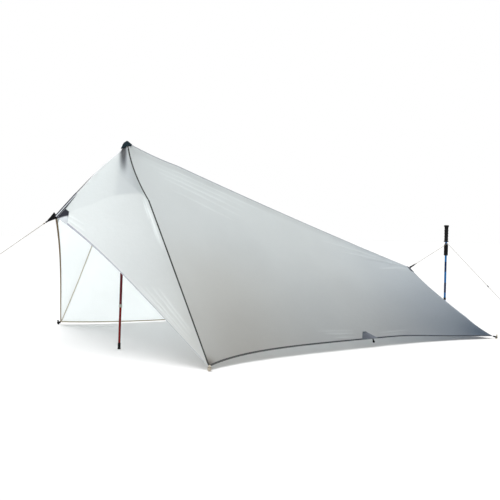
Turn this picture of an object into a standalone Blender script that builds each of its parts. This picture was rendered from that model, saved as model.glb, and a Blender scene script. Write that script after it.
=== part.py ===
"""Ultralight camping tarp, pitched over a front pole and tied back to a rear pole.

The ground is z = 0, and the front pole's foot stands at the origin. +X runs along the ridge to the rear, -Y is
the near side and +Y the far side. Sizes are in metres. The cloth is laid out on smooth curves: each panel is
blended from the curves of its edges, and the seams, hems and patches are cut from the same panels.
"""
import math

import bmesh
import bpy
import numpy as np
from mathutils import Matrix, Vector

# The pitch: where the cloth is held, from the front pole's foot
PEAK_BACK = 0.13
PEAK_ASIDE = 0.21
PEAK_HEIGHT = 1.262
BEAK_REACH = 0.458
BEAK_HEIGHT = 0.787
RIDGE_RUN = 2.56
RIDGE_END_HEIGHT = 0.45
FRONT_HALF_WIDTH = 1.055
FRONT_CORNER_BACK = -0.02
REAR_HALF_WIDTH = 0.985
REAR_CORNER_BACK = 2.36
CORNER_HEIGHT = 0.018
REAR_POLE_REACH = 3.00
FRONT_STAKE_AHEAD = 1.54
REAR_STAKE_REACH = 3.94

# How far each edge is cut away from a straight line
RIDGE_SAG = 0.016
BEAK_RIDGE_RISE = 0.015
BEAK_HEM_BOW = 0.028
BEAK_BILLOW = 0.018
HIP_BOW = 0.018
SIDE_BOW = 0.145
NEAR_SIDE_LIFT = 0.035
FAR_SIDE_LIFT = 0.020
REAR_BOW = 0.030

# Cloth, tape and webbing
CLOTH_THICKNESS = 0.0010
TAPE_THICKNESS = 0.0018
SEAM_HALF_WIDTH = 0.006
HEM_WIDTH = 0.012
PATCH_THICKNESS = 0.0012
CAP_THICKNESS = 0.0018
CAP_RADIUS = 0.048
SEAM_START = 0.018
FRONT_PATCH_LENGTH = 0.072
FRONT_PATCH_TOP_REACH = 0.040
FRONT_PATCH_HEM_REACH = 0.090
FRONT_TAIL_LENGTH = 0.120
FRONT_TAIL_ROOT_REACH = 0.018
FRONT_TAIL_TIP_REACH = 0.004
REAR_PATCH_LENGTH = 0.050
REAR_PATCH_HALF_WIDTH = 0.055
SIDE_PATCH_WIDTH = 0.080
SIDE_PATCH_HEIGHT = 0.070
SIDE_PATCH_TAPER = 0.6
SIDE_PATCH_PLACE = 0.57
WEBBING_THICKNESS = 0.0014
WEBBING_WIDTH = 0.010
SIDE_LOOP_RADIUS = 0.0048
SIDE_LOOP_NECK = 0.012
CORNER_LOOP_NECK = 0.012
TAB_LENGTH = 0.050
TAB_ROOT_HEIGHT = 0.030
TAB_TIP_HEIGHT = 0.012
TAB_THICKNESS = 0.003

# Cord, locks and runner
CORD_DIAMETER = 0.0025
LOCK_LENGTH = 0.018
LOCK_RADIUS = 0.0048
LOCK_BORE_DEPTH = 0.006
RUNNER_LENGTH = 0.022
RUNNER_RADIUS = 0.0048
RUNNER_PLACE = 0.60
HITCH_TURNS = 2
HITCH_PITCH = 0.0036

# Stakes: three blades at 120 degrees
STAKE_LENGTH = 0.155
STAKE_RADIUS = 0.007
STAKE_BLADE = 0.0018
STAKE_POINT = 0.028
STAKE_NOTCH_DEPTH = 0.0025
STAKE_NOTCH_WIDTH = 0.005
STAKE_HEAD = 0.008
STAKE_ABOVE_GROUND = 0.032
STAKE_LEAN = math.radians(12)

# Poles: three tubes that slide together
UPPER_LENGTH = 0.64
MIDDLE_TUBE = 0.50
LOWER_TUBE = 0.46
FRONT_LOWER_OUT = 0.25
REAR_LOWER_OUT = 0.10
REAR_MIDDLE_OUT = 0.07
UPPER_RADIUS = 0.009
TUBE_WALL = 0.0007
TUBE_GAP = 0.0003
COLLAR_LENGTH = 0.018
COLLAR_WALL = 0.0022
COLLAR_LIP = 0.005
EXPANDER_HEAD = 0.024
EXPANDER_STEM = 0.014
FOOT_LENGTH = 0.038
FOOT_WALL = 0.0018
FOOT_SOLE = 0.012
GRIP_LENGTH = 0.145
GRIP_RADIUS = 0.0150
GRIP_CAP_RADIUS = 0.0180
GRIP_SWELL = 0.0013
GRIP_SWELLS = 4
GRIP_GAP = 0.026
FOAM_LENGTH = 0.083
FOAM_RADIUS = 0.0125
FOAM_GROOVE = 0.0007
FOAM_GROOVES = 4
POLE_SEAT_AHEAD = 0.010

# Fits and fineness
GAP = 0.0003
SEAT_GAP = 0.0004
SIDES = 16

CENTRE = PEAK_ASIDE
PEAK = np.array([PEAK_BACK, CENTRE, PEAK_HEIGHT])
BEAK_POINT = np.array([PEAK_BACK - BEAK_REACH, CENTRE, BEAK_HEIGHT])
RIDGE_END = np.array([PEAK_BACK + RIDGE_RUN, CENTRE, RIDGE_END_HEIGHT])
TENT_MIDDLE = np.array([PEAK_BACK + 0.3 * RIDGE_RUN, CENTRE, 0.25 * PEAK_HEIGHT])
UP = np.array([0.0, 0.0, 1.0])
NEAR, FAR = -1, 1
SIDE_NAMES = {NEAR: "near", FAR: "far"}


def unit(vector):
    return vector / np.linalg.norm(vector)


def mix(start, end, share):
    """Point between start and end at the given share of the way, for whole arrays of shares."""
    share = np.asarray(share, dtype=float)[..., None]
    return start * (1 - share) + end * share


def arch(share):
    """Parabola that is 0 at both ends and 1 in the middle."""
    share = np.asarray(share, dtype=float)[..., None]
    return 4 * share * (1 - share)


def flat_arch(share):
    """Arch with a flat top and steep ends, steepest in front, as a hem cut between two pegs."""
    share = np.asarray(share, dtype=float)[..., None]
    return 1 - np.abs(2 * share - 1) ** (4 - 1.5 * share)


def front_corner(side):
    return np.array([PEAK_BACK + FRONT_CORNER_BACK, CENTRE + side * FRONT_HALF_WIDTH, CORNER_HEIGHT])


def rear_corner(side):
    return np.array([PEAK_BACK + REAR_CORNER_BACK, CENTRE + side * REAR_HALF_WIDTH, CORNER_HEIGHT])


def ridge(along):
    return mix(PEAK, RIDGE_END, along) - RIDGE_SAG * arch(along) * UP


def beak_ridge(along):
    line = unit(BEAK_POINT - PEAK)
    outward = np.array([line[2], 0.0, -line[0]])
    return mix(PEAK, BEAK_POINT, along) + BEAK_RIDGE_RISE * arch(along) * outward


def hip(side, along):
    return mix(PEAK, front_corner(side), along) + HIP_BOW * arch(along) * np.array([1.0, 0.0, 0.0])


def side_hem(side, along):
    lift = NEAR_SIDE_LIFT if side == NEAR else FAR_SIDE_LIFT
    inward = np.array([0.0, -side * SIDE_BOW, lift])
    return mix(front_corner(side), rear_corner(side), along) + flat_arch(along) * inward


def rear_edge(side, along):
    return mix(RIDGE_END, rear_corner(side), along) - REAR_BOW * arch(along) * np.array([1.0, 0.0, 0.0])


def beak_hem(side, along):
    """Curve from the beak's point to the corner, hollowed towards the peak and most so near the point."""
    line = unit(front_corner(side) - BEAK_POINT)
    to_peak = PEAK - BEAK_POINT
    inward = unit(to_peak - line * np.dot(to_peak, line))
    skew = 1 + 0.6 * (1 - 2 * np.asarray(along, dtype=float)[..., None])
    return mix(BEAK_POINT, front_corner(side), along) + BEAK_HEM_BOW * arch(along) * skew * inward


def main_panel(side, along, down):
    """Sheet blended from its four edges: ridge, side hem, hip seam and rear edge."""
    lengthwise = mix(ridge(along), side_hem(side, along), down)
    crosswise = mix(hip(side, down), rear_edge(side, down), along)
    corners = mix(mix(PEAK, RIDGE_END, along), mix(front_corner(side), rear_corner(side), along), down)
    return lengthwise + crosswise - corners


def beak_panel(side, across, down):
    """Three-sided sheet: across runs from the beak's ridge to the hip seam, down from the peak to the hem."""
    down = np.asarray(down, dtype=float)
    sheet = mix(beak_ridge(down), hip(side, down), across)
    hem_cut = beak_hem(side, across) - mix(BEAK_POINT, front_corner(side), across)
    outward = unit(np.cross(BEAK_POINT - PEAK, front_corner(side) - PEAK)) * side
    billow = BEAK_BILLOW * arch(across) * arch(down) * outward
    return sheet + hem_cut * down[..., None] + billow


def span(start, end):
    return np.linalg.norm(start - end, axis=-1)


def main_width(side, down):
    return span(main_panel(side, np.zeros_like(down), down), main_panel(side, np.ones_like(down), down))


def main_drop(side, along):
    return span(main_panel(side, along, np.zeros_like(along)), main_panel(side, along, np.ones_like(along)))


def beak_width(side, down):
    return span(beak_panel(side, np.zeros_like(down), down), beak_panel(side, np.ones_like(down), down))


def beak_drop(side, across):
    return span(PEAK, beak_panel(side, across, np.ones_like(across)))


def new_material(name, colour, roughness, metallic=0.0):
    material = bpy.data.materials.new(name)
    material.use_nodes = True
    shader = material.node_tree.nodes["Principled BSDF"]
    shader.inputs["Base Color"].default_value = (*colour, 1.0)
    shader.inputs["Roughness"].default_value = roughness
    shader.inputs["Metallic"].default_value = metallic
    material.diffuse_color = (*colour, 1.0)
    return material


def finish_mesh(name, mesh, material, place=None, parent=None):
    """Object of a mesh whose points are measured from its own origin, shaded smooth with crisp edges."""
    mesh.materials.append(material)
    mesh.shade_smooth()
    mesh.set_sharp_from_angle(angle=math.radians(35))
    piece = bpy.data.objects.new(name, mesh)
    bpy.context.collection.objects.link(piece)
    piece.parent = parent
    if place is not None:
        piece.matrix_basis = place
    return piece


def solid(name, points, faces, material, place=None, parent=None):
    """Closed body from points and faces, with its faces turned outwards."""
    mesh = bpy.data.meshes.new(name)
    mesh.from_pydata([tuple(point) for point in points], [], faces)
    body = bmesh.new()
    body.from_mesh(mesh)
    bmesh.ops.recalc_face_normals(body, faces=body.faces)
    body.to_mesh(mesh)
    body.free()
    return finish_mesh(name, mesh, material, place, parent)


def mitre(normals, offset):
    """Smallest step that moves a point by the offset off every one of the given planes."""
    return np.linalg.pinv(np.array(normals), rcond=0.15) @ np.full(len(normals), offset)


def cell_normals(grid):
    """Outward unit normal of each cell of a grid of points, away from the middle of the tent."""
    first = grid[1:, 1:] - grid[:-1, :-1]
    second = grid[:-1, 1:] - grid[1:, :-1]
    normals = np.cross(first, second)
    normals /= np.linalg.norm(normals, axis=-1, keepdims=True)
    away = np.sum(normals * (grid[:-1, :-1] - TENT_MIDDLE), axis=-1)
    return normals * (1.0 if away.mean() > 0 else -1.0)


def lifted(grid, offset):
    """The grid moved off the cloth by the offset, with mitred creases."""
    normals = cell_normals(grid)
    rows, columns = grid.shape[:2]
    moved = np.empty_like(grid)
    for row in range(rows):
        for column in range(columns):
            around = [normals[i, j] for i in (row - 1, row) for j in (column - 1, column)
                      if 0 <= i < rows - 1 and 0 <= j < columns - 1]
            moved[row, column] = grid[row, column] + mitre(around, offset)
    return moved


def shell(name, grid, thickness, material, lift=0.0):
    """Closed sheet of the given thickness along a grid of points, its middle lifted off them."""
    rows, columns = grid.shape[:2]
    upper = lifted(grid, lift + thickness / 2).reshape(-1, 3)
    lower = lifted(grid, lift - thickness / 2).reshape(-1, 3)
    count = rows * columns
    faces = []
    for i in range(rows - 1):
        for j in range(columns - 1):
            a, b = i * columns + j, (i + 1) * columns + j
            faces.append((a, b, b + 1, a + 1))
            faces.append((count + a, count + a + 1, count + b + 1, count + b))
    rim = list(range(columns))
    rim += [i * columns + columns - 1 for i in range(1, rows)]
    rim += [(rows - 1) * columns + j for j in range(columns - 2, -1, -1)]
    rim += [i * columns for i in range(rows - 2, 0, -1)]
    for a, b in zip(rim, rim[1:] + rim[:1]):
        faces.append((a, b, count + b, count + a))
    return solid(name, np.vstack([upper, lower]), faces, material)


# Shares of the way along a panel at which its grid has lines, closer together where patches lie
MAIN_ALONG = np.concatenate([[0, 0.03], np.linspace(0.09, 0.91, 14), [0.97, 1]])
MAIN_DOWN = np.concatenate([[0, 0.045], np.linspace(0.13, 0.87, 7), [0.93, 0.965, 1]])
BEAK_ACROSS = np.linspace(0, 1, 10)
BEAK_DOWN = np.concatenate([np.linspace(0, 0.88, 8), [0.94, 1]])


def main_grid(side):
    """Where the main panel's cloth lies, inside its seams and hems: shares along and down."""
    along, down = np.meshgrid(MAIN_ALONG, MAIN_DOWN, indexing="ij")
    first = (SEAM_HALF_WIDTH + GAP) / main_width(side, down)
    last = 1 - (HEM_WIDTH + GAP) / main_width(side, down)
    along = first + (last - first) * along
    top = (SEAM_HALF_WIDTH + GAP) / main_drop(side, along)
    bottom = 1 - (HEM_WIDTH + GAP) / main_drop(side, along)
    return along, top + (bottom - top) * down


def beak_grid(side):
    """Where the beak panel's cloth lies: shares across and down."""
    across, down = np.meshgrid(BEAK_ACROSS, BEAK_DOWN, indexing="ij")
    top = 1.5 * SEAM_START / beak_drop(side, np.full_like(across, 0.5))
    bottom = 1 - (HEM_WIDTH + GAP) / beak_drop(side, across)
    down = top + (bottom - top) * down
    edge = (SEAM_HALF_WIDTH + GAP) / beak_width(side, down)
    return edge + (1 - 2 * edge) * across, down


def make_panels(cloth):
    for side in (NEAR, FAR):
        name = SIDE_NAMES[side]
        shell(name + "_main_panel", main_panel(side, *main_grid(side)), CLOTH_THICKNESS, cloth)
        shell(name + "_beak_panel", beak_panel(side, *beak_grid(side)), CLOTH_THICKNESS, cloth)


def make_seams(tape):
    """Strips folded over the creases, each with one wing on either panel."""
    along = main_grid(NEAR)[0][1:-1, 0]
    along = np.concatenate([[SEAM_START / span(PEAK, RIDGE_END)], along, [1.0]])
    wings = [main_panel(side, along, SEAM_HALF_WIDTH / main_drop(side, along)) for side in (NEAR, FAR)]
    shell("ridge_seam", np.stack([wings[0], ridge(along), wings[1]], axis=1), TAPE_THICKNESS, tape)

    down = np.linspace(SEAM_START / span(PEAK, BEAK_POINT), 1, 10)
    wings = [beak_panel(side, SEAM_HALF_WIDTH / beak_width(side, down), down) for side in (NEAR, FAR)]
    shell("beak_ridge_seam", np.stack([wings[0], beak_ridge(down), wings[1]], axis=1), TAPE_THICKNESS, tape)

    for side in (NEAR, FAR):
        down = np.linspace(SEAM_START / span(PEAK, front_corner(side)), 1, 13)
        on_beak = beak_panel(side, 1 - SEAM_HALF_WIDTH / beak_width(side, down), down)
        on_main = main_panel(side, SEAM_HALF_WIDTH / main_width(side, down), down)
        strip = np.stack([on_beak, hip(side, down), on_main], axis=1)
        shell(SIDE_NAMES[side] + "_hip_seam", strip, TAPE_THICKNESS, tape)


def make_hems(tape):
    """Folded strips along the free edges."""
    for side in (NEAR, FAR):
        name = SIDE_NAMES[side]
        along, down = main_grid(side)
        edge = np.append(along[:, -1], 1.0)
        inner = main_panel(side, edge, 1 - HEM_WIDTH / main_drop(side, edge))
        shell(name + "_side_hem", np.stack([inner, side_hem(side, edge)], axis=1), TAPE_THICKNESS, tape)

        edge = down[-1]
        inner = main_panel(side, 1 - HEM_WIDTH / main_width(side, edge), edge)
        shell(name + "_rear_hem", np.stack([inner, rear_edge(side, edge)], axis=1), TAPE_THICKNESS, tape)

        edge = beak_grid(side)[0][:, -1]
        inner = beak_panel(side, edge, 1 - HEM_WIDTH / beak_drop(side, edge))
        shell(name + "_beak_hem", np.stack([inner, beak_hem(side, edge)], axis=1), TAPE_THICKNESS, tape)


def patch_lift():
    """Height of a patch's middle over the cloth, so that it clears the seams and hems under it."""
    return TAPE_THICKNESS / 2 + GAP + PATCH_THICKNESS / 2


def front_patch_outline():
    """How far up the beak's ridge each row of the front patch lies, and how far the patch reaches down
    either side there: a narrow tail that widens, then a triangle that grows towards the hem."""
    tail = FRONT_PATCH_LENGTH + FRONT_TAIL_LENGTH * np.array([1.0, 0.5, 0.1])
    tail_reach = np.linspace(FRONT_TAIL_TIP_REACH, FRONT_TAIL_ROOT_REACH, 3)
    triangle = FRONT_PATCH_LENGTH * np.array([1.0, 0.5, 0.0])
    triangle_reach = np.linspace(FRONT_PATCH_TOP_REACH, FRONT_PATCH_HEM_REACH, 3)
    return np.concatenate([tail, triangle]), np.concatenate([tail_reach, triangle_reach])


def make_patches(patch_cloth):
    height, reach = front_patch_outline()
    share = 1 - height / span(PEAK, BEAK_POINT)
    columns = []
    for side in (NEAR, FAR):
        across = reach / beak_width(side, share)
        columns.append([beak_panel(side, across * part, share) for part in (1, 0.5)])
    grid = np.stack([*columns[0], beak_ridge(share), *columns[1][::-1]], axis=1)
    shell("front_patch", grid, PATCH_THICKNESS, patch_cloth, patch_lift())

    share = np.linspace(1 - REAR_PATCH_LENGTH / span(PEAK, RIDGE_END), 1, 4)
    columns = []
    for side in (NEAR, FAR):
        reach = REAR_PATCH_HALF_WIDTH / main_drop(side, share)
        columns.append([main_panel(side, share, reach * part) for part in (1, 0.5)])
    grid = np.stack([*columns[0], ridge(share), *columns[1][::-1]], axis=1)
    shell("rear_patch", grid, PATCH_THICKNESS, patch_cloth, patch_lift())

    for side in (NEAR, FAR):
        up, sideways = np.meshgrid(np.linspace(0, 1, 4), np.linspace(-0.5, 0.5, 5), indexing="ij")
        width = SIDE_PATCH_WIDTH * (1 - (1 - SIDE_PATCH_TAPER) * up) / main_width(side, np.ones_like(up))
        along = SIDE_PATCH_PLACE + sideways * width
        down = 1 - up * SIDE_PATCH_HEIGHT / main_drop(side, along)
        shell(SIDE_NAMES[side] + "_side_patch", main_panel(side, along, down), PATCH_THICKNESS, patch_cloth,
              patch_lift())


def cap_ring(radius):
    """Eight points round the peak at one distance, from the ridge towards the near side, with the normals
    of the panels that meet there."""
    main = {side: cell_normals(main_panel(side, *np.meshgrid([0, 0.02], [0, 0.03], indexing="ij")))[0, 0]
            for side in (NEAR, FAR)}
    beak = {side: cell_normals(beak_panel(side, *np.meshgrid([0, 1], [0.02, 0.06], indexing="ij")))[0, 0]
            for side in (NEAR, FAR)}
    diagonal = radius * math.sqrt(0.5)

    def on_main(side):
        return main_panel(side, diagonal / span(PEAK, RIDGE_END), diagonal / span(PEAK, front_corner(side)))

    def on_hip(side):
        return hip(side, radius / span(PEAK, front_corner(side)))

    def on_beak(side):
        return beak_panel(side, 0.5, radius / beak_drop(side, np.array(0.5)))

    return [
        (ridge(radius / span(PEAK, RIDGE_END)), [main[NEAR], main[FAR]]),
        (on_main(NEAR), [main[NEAR]]),
        (on_hip(NEAR), [main[NEAR], beak[NEAR]]),
        (on_beak(NEAR), [beak[NEAR]]),
        (beak_ridge(radius / span(PEAK, BEAK_POINT)), [beak[NEAR], beak[FAR]]),
        (on_beak(FAR), [beak[FAR]]),
        (on_hip(FAR), [main[FAR], beak[FAR]]),
        (on_main(FAR), [main[FAR]]),
    ]


def make_peak_cap(cap_cloth):
    """Four-sided cone over the peak, clear of the seams under it."""
    rings = [cap_ring(CAP_RADIUS * share) for share in (0.35, 0.7, 1.0)]
    peak_normals = [normal for _, normals in rings[0] for normal in normals if len(normals) == 1]
    below = TAPE_THICKNESS / 2 + GAP
    layers = []
    for offset in (below, below + CAP_THICKNESS):
        layers.append([PEAK + mitre(peak_normals, offset)])
        for ring in rings:
            layers[-1] += [point + mitre(normals, offset) for point, normals in ring]
    count = len(layers[0])
    faces = []
    for layer in (0, count):
        for k in range(8):
            after = (k + 1) % 8
            faces.append((layer, layer + 1 + k, layer + 1 + after))
            for ring in range(len(rings) - 1):
                low, high = layer + 1 + 8 * ring, layer + 9 + 8 * ring
                faces.append((low + k, high + k, high + after, low + after))
    rim = 1 + 8 * (len(rings) - 1)
    for k in range(8):
        after = (k + 1) % 8
        faces.append((rim + k, rim + after, count + rim + after, count + rim + k))
    solid("peak_cap", layers[0] + layers[1], faces, cap_cloth)


def world_points(name):
    """The points of a piece, in world space."""
    piece = bpy.data.objects[name]
    bpy.context.view_layer.update()
    return np.array([piece.matrix_world @ vertex.co for vertex in piece.data.vertices])


def reach_of(names, point, direction, within=0.02):
    """How far the named pieces stand out past a point in one direction, near that point."""
    points = np.vstack([world_points(name) for name in names])
    close = points[np.linalg.norm(points - point, axis=1) < within]
    return max(0.0, float(((close - point) @ direction).max()))


def frame_at(origin, forward, upward):
    """Placement with local X along forward and local Z as near to upward as it goes."""
    x = unit(np.asarray(forward, dtype=float))
    y = unit(np.cross(upward, x))
    z = np.cross(x, y)
    rotation = Matrix(np.array([x, y, z]).T.tolist()).to_4x4()
    return Matrix.Translation(Vector(origin)) @ rotation


def axis_frame(origin, axis):
    """Placement with local Z along the axis."""
    return frame_at(origin, np.cross(axis, [0.0, 1.0, 0.0]), axis)


def teardrop(radius, tail, half_width, count=17):
    """Outline of a circle drawn out to a short straight end at distance tail on its -X side."""
    turn = math.pi - math.acos(min(1.0, radius / tail))
    angles = np.linspace(-turn, turn, count - 2)
    arc = [(radius * math.cos(a), radius * math.sin(a)) for a in angles]
    return [(-tail, -half_width)] + arc + [(-tail, half_width)]


def webbing_loop(name, place, inner_radius, neck, material):
    """Band of webbing that goes round a circle about local Z and comes together in a sewn neck at -X."""
    outer_radius = inner_radius + WEBBING_THICKNESS
    outer = teardrop(outer_radius, outer_radius + neck, WEBBING_THICKNESS)
    inner = teardrop(inner_radius, inner_radius + 0.4 * neck, GAP)
    points = [(x, y, z) for z in (-WEBBING_WIDTH / 2, WEBBING_WIDTH / 2) for x, y in outer + inner]
    count = len(outer)
    faces = []
    for k in range(count):
        after = (k + 1) % count
        for layer, flip in ((0, 1), (2 * count, -1)):
            faces.append((layer + k, layer + after, layer + count + after, layer + count + k)[::flip])
        faces.append((k, after, 2 * count + after, 2 * count + k))
        faces.append((count + k, 3 * count + k, 3 * count + after, count + after))
    return solid(name, points, faces, material, place)


def star_ring(radius, height, blade=STAKE_BLADE):
    """Twelve points of a three-bladed section."""
    ring = []
    root = blade / math.sqrt(3)
    for k in range(3):
        angle = math.radians(120 * k)
        along = np.array([math.cos(angle), math.sin(angle)])
        across = np.array([-along[1], along[0]])
        crotch_angle = angle - math.radians(60)
        ring.append((root * math.cos(crotch_angle), root * math.sin(crotch_angle)))
        for shift, out in ((-0.5, 0.9), (0.0, 1.0), (0.5, 0.9)):
            ring.append(tuple(along * radius * out + across * blade * shift))
    return [(x, y, height) for x, y in ring]


def make_stake(name, place, metal):
    """Three-bladed stake whose local Z runs from the ground up to its head."""
    bottom = STAKE_ABOVE_GROUND - STAKE_LENGTH
    top = STAKE_ABOVE_GROUND
    notch_top = top - STAKE_HEAD
    notch_bottom = notch_top - STAKE_NOTCH_WIDTH
    bevel = STAKE_NOTCH_DEPTH / 2
    waist = STAKE_RADIUS - STAKE_NOTCH_DEPTH
    sections = [(STAKE_BLADE, bottom), (STAKE_RADIUS, bottom + STAKE_POINT),
                (STAKE_RADIUS, notch_bottom - bevel), (waist, notch_bottom), (waist, notch_top),
                (STAKE_RADIUS, notch_top + bevel), (STAKE_RADIUS, top)]
    points = [point for radius, height in sections for point in star_ring(radius, height)]
    faces = [tuple(range(12))[::-1], tuple(range(12 * (len(sections) - 1), 12 * len(sections)))]
    for level in range(len(sections) - 1):
        for k in range(12):
            after = (k + 1) % 12
            low = 12 * level
            faces.append((low + k, low + after, low + 12 + after, low + 12 + k))
    return solid(name, points, faces, metal, place)


def stake_place(ground_point, outward):
    """Stake that leans its head outwards, one blade facing that way."""
    outward = unit(np.array([outward[0], outward[1], 0.0]))
    axis = unit(UP * math.cos(STAKE_LEAN) + outward * math.sin(STAKE_LEAN))
    return frame_at(ground_point, np.cross(np.cross(axis, outward), axis), axis)


def make_corner(name, corner, neighbours, directions, webbing, metal):
    """Webbing loop at a corner of the cloth, and the stake that stands in it."""
    outward = -(unit(directions[0] - corner) + unit(directions[1] - corner))
    outward = unit(np.array([outward[0], outward[1], 0.0]))
    lean_axis = unit(UP * math.cos(STAKE_LEAN) + outward * math.sin(STAKE_LEAN))
    forward = unit(np.cross(np.cross(lean_axis, outward), lean_axis))
    hole = STAKE_RADIUS + 3 * SEAT_GAP
    tail = hole + WEBBING_THICKNESS + CORNER_LOOP_NECK
    start = corner + forward * (reach_of(neighbours, corner, forward) + SEAT_GAP)
    centre = start + forward * tail
    webbing_loop(name + "_loop", frame_at(centre, forward, lean_axis), hole, CORNER_LOOP_NECK, webbing)
    inside = centre + forward * (hole - STAKE_RADIUS - SEAT_GAP)
    ground = inside - lean_axis * (inside[2] / lean_axis[2])
    make_stake(name + "_stake", stake_place(ground, outward), metal)


def make_corners(webbing, metal):
    for side in (NEAR, FAR):
        name = SIDE_NAMES[side]
        make_corner(name + "_corner", front_corner(side), [name + "_hip_seam", name + "_side_hem"],
                    [side_hem(side, 0.02), beak_hem(side, 0.97)], webbing, metal)
        make_corner(name + "_rear", rear_corner(side), [name + "_side_hem", name + "_rear_hem"],
                    [side_hem(side, 0.98), rear_edge(side, 0.96)], webbing, metal)


def make_side_loops(webbing):
    """Loops that hang from the middle of the long hems."""
    for side in (NEAR, FAR):
        name = SIDE_NAMES[side]
        seat = side_hem(side, SIDE_PATCH_PLACE)
        down = unit(np.array([0.0, 0.45 * side, -1.0]))
        along, across = np.meshgrid([SIDE_PATCH_PLACE, SIDE_PATCH_PLACE + 0.01], [0.99, 1], indexing="ij")
        normal = cell_normals(main_panel(side, along, across))[0, 0]
        half_hem = TAPE_THICKNESS / 2 * abs(normal @ down)
        start = seat + down * (half_hem + SEAT_GAP)
        centre = start + down * (SIDE_LOOP_RADIUS + WEBBING_THICKNESS + SIDE_LOOP_NECK)
        webbing_loop(name + "_side_loop", frame_at(centre, down, np.array([1.0, 0.0, 0.0])),
                     SIDE_LOOP_RADIUS, SIDE_LOOP_NECK, webbing)


def turned(name, profile, material, parent, closed=False, place=None):
    """Body of revolution about local Z from a profile of radius and height."""
    mesh = bpy.data.meshes.new(name)
    body = bmesh.new()
    ring = [body.verts.new((radius, 0.0, height)) for radius, height in profile]
    pairs = list(zip(ring, ring[1:]))
    if closed:
        pairs.append((ring[-1], ring[0]))
    edges = [body.edges.new(pair) for pair in pairs]
    bmesh.ops.spin(body, geom=ring + edges, cent=(0, 0, 0), axis=(0, 0, 1), angle=math.tau, steps=SIDES,
                   use_merge=True, use_duplicate=False)
    bmesh.ops.remove_doubles(body, verts=body.verts, dist=1e-6)
    bmesh.ops.dissolve_degenerate(body, edges=body.edges, dist=1e-7)
    bmesh.ops.recalc_face_normals(body, faces=body.faces)
    body.to_mesh(mesh)
    body.free()
    return finish_mesh(name, mesh, material, place, parent)


def tube_profile(outer, bottom, top):
    inner = outer - TUBE_WALL
    return [(outer, bottom), (outer, top), (inner, top), (inner, bottom)]


def tube_radii():
    """Outer radii of the upper, middle and lower tube, each sliding in the one before."""
    step = TUBE_WALL + TUBE_GAP
    return UPPER_RADIUS, UPPER_RADIUS - step, UPPER_RADIUS - 2 * step


def collar_profile(bottom, carrier, slider):
    """Sleeve on the carrier tube's mouth, with a lip that closes in on the sliding tube."""
    outer = carrier + COLLAR_WALL
    edge = COLLAR_WALL * 0.3
    top = bottom + COLLAR_LENGTH
    shoulder = bottom + COLLAR_LIP - GAP
    return [(outer - edge, bottom), (outer, bottom + edge), (outer, top - edge), (outer - edge, top),
            (carrier + GAP, top), (carrier + GAP, shoulder), (slider + TUBE_GAP, shoulder),
            (slider + TUBE_GAP, bottom)]


def expander_profile(tube_top, slider, carrier):
    """Plug on the hidden end of a sliding tube: a stem in its own bore, a cone and a head that grips the
    bore of the tube outside."""
    stem = slider - TUBE_WALL - GAP
    head = carrier - TUBE_WALL - GAP
    bottom = tube_top - EXPANDER_STEM
    base = tube_top + GAP
    top = base + EXPANDER_HEAD
    return [(0, bottom), (stem, bottom), (stem, base), (head, base), (head, base + 0.30 * EXPANDER_HEAD),
            (stem * 0.6, base + 0.38 * EXPANDER_HEAD), (stem * 0.6, base + 0.46 * EXPANDER_HEAD),
            (head, base + 0.62 * EXPANDER_HEAD), (head, top - 0.1 * EXPANDER_HEAD), (head * 0.8, top),
            (0, top)]


def grip_profile(top, bore):
    """Handle with a domed cap, a neck and a row of finger swells, hollow for the tube's end."""
    outline = [(0, top)]
    for angle in (20, 40, 60, 80, 100, 120):
        turn = math.radians(angle)
        outline.append((GRIP_CAP_RADIUS * math.sin(turn), top - GRIP_CAP_RADIUS * (1 - math.cos(turn))))
    bottom = top - GRIP_LENGTH
    start = top - 2.0 * GRIP_CAP_RADIUS
    for share in np.linspace(0, 1, 4 * GRIP_SWELLS + 1):
        wave = -math.cos(math.tau * GRIP_SWELLS * share)
        radius = GRIP_RADIUS + GRIP_SWELL * wave - 0.001 * share
        outline.append((radius, start + (bottom + 0.004 - start) * share))
    outline += [(GRIP_RADIUS - 0.001, bottom), (bore, bottom), (bore, top - GRIP_CAP_RADIUS),
                (0, top - GRIP_CAP_RADIUS)]
    return outline


def foam_profile(top, bore):
    """Lower grip sleeve with shallow grooves round it."""
    outline = [(FOAM_RADIUS - 0.001, top)]
    pitch = FOAM_LENGTH / (FOAM_GROOVES + 1)
    for k in range(1, FOAM_GROOVES + 1):
        middle = top - k * pitch
        outline += [(FOAM_RADIUS, middle + 0.18 * pitch), (FOAM_RADIUS - FOAM_GROOVE, middle),
                    (FOAM_RADIUS, middle - 0.18 * pitch)]
    bottom = top - FOAM_LENGTH
    outline += [(FOAM_RADIUS - 0.001, bottom), (bore, bottom), (bore, top)]
    return outline


def make_foot(name, parent, lower, material):
    """Rubber foot on the lower tube, cut flat where it meets the ground."""
    outer = lower + FOOT_WALL
    profile = [(0, -FOOT_SOLE), (outer * 1.06, -FOOT_SOLE), (outer * 1.06, FOOT_SOLE * 0.6),
               (outer, FOOT_SOLE), (outer, FOOT_LENGTH - 0.003), (outer - 0.001, FOOT_LENGTH),
               (lower + GAP, FOOT_LENGTH), (lower + GAP, FOOT_SOLE - GAP), (0, FOOT_SOLE - GAP)]
    foot = turned(name, profile, material, parent)
    bpy.context.view_layer.update()
    to_local = foot.matrix_world.inverted()
    body = bmesh.new()
    body.from_mesh(foot.data)
    cut = bmesh.ops.bisect_plane(body, geom=body.verts[:] + body.edges[:] + body.faces[:],
                                 plane_co=to_local @ Vector((0, 0, 0)),
                                 plane_no=to_local.to_3x3() @ Vector((0, 0, 1)), clear_inner=True)
    edges = [item for item in cut["geom_cut"] if isinstance(item, bmesh.types.BMEdge)]
    bmesh.ops.contextual_create(body, geom=edges)
    bmesh.ops.recalc_face_normals(body, faces=body.faces)
    body.to_mesh(foot.data)
    body.free()


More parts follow.
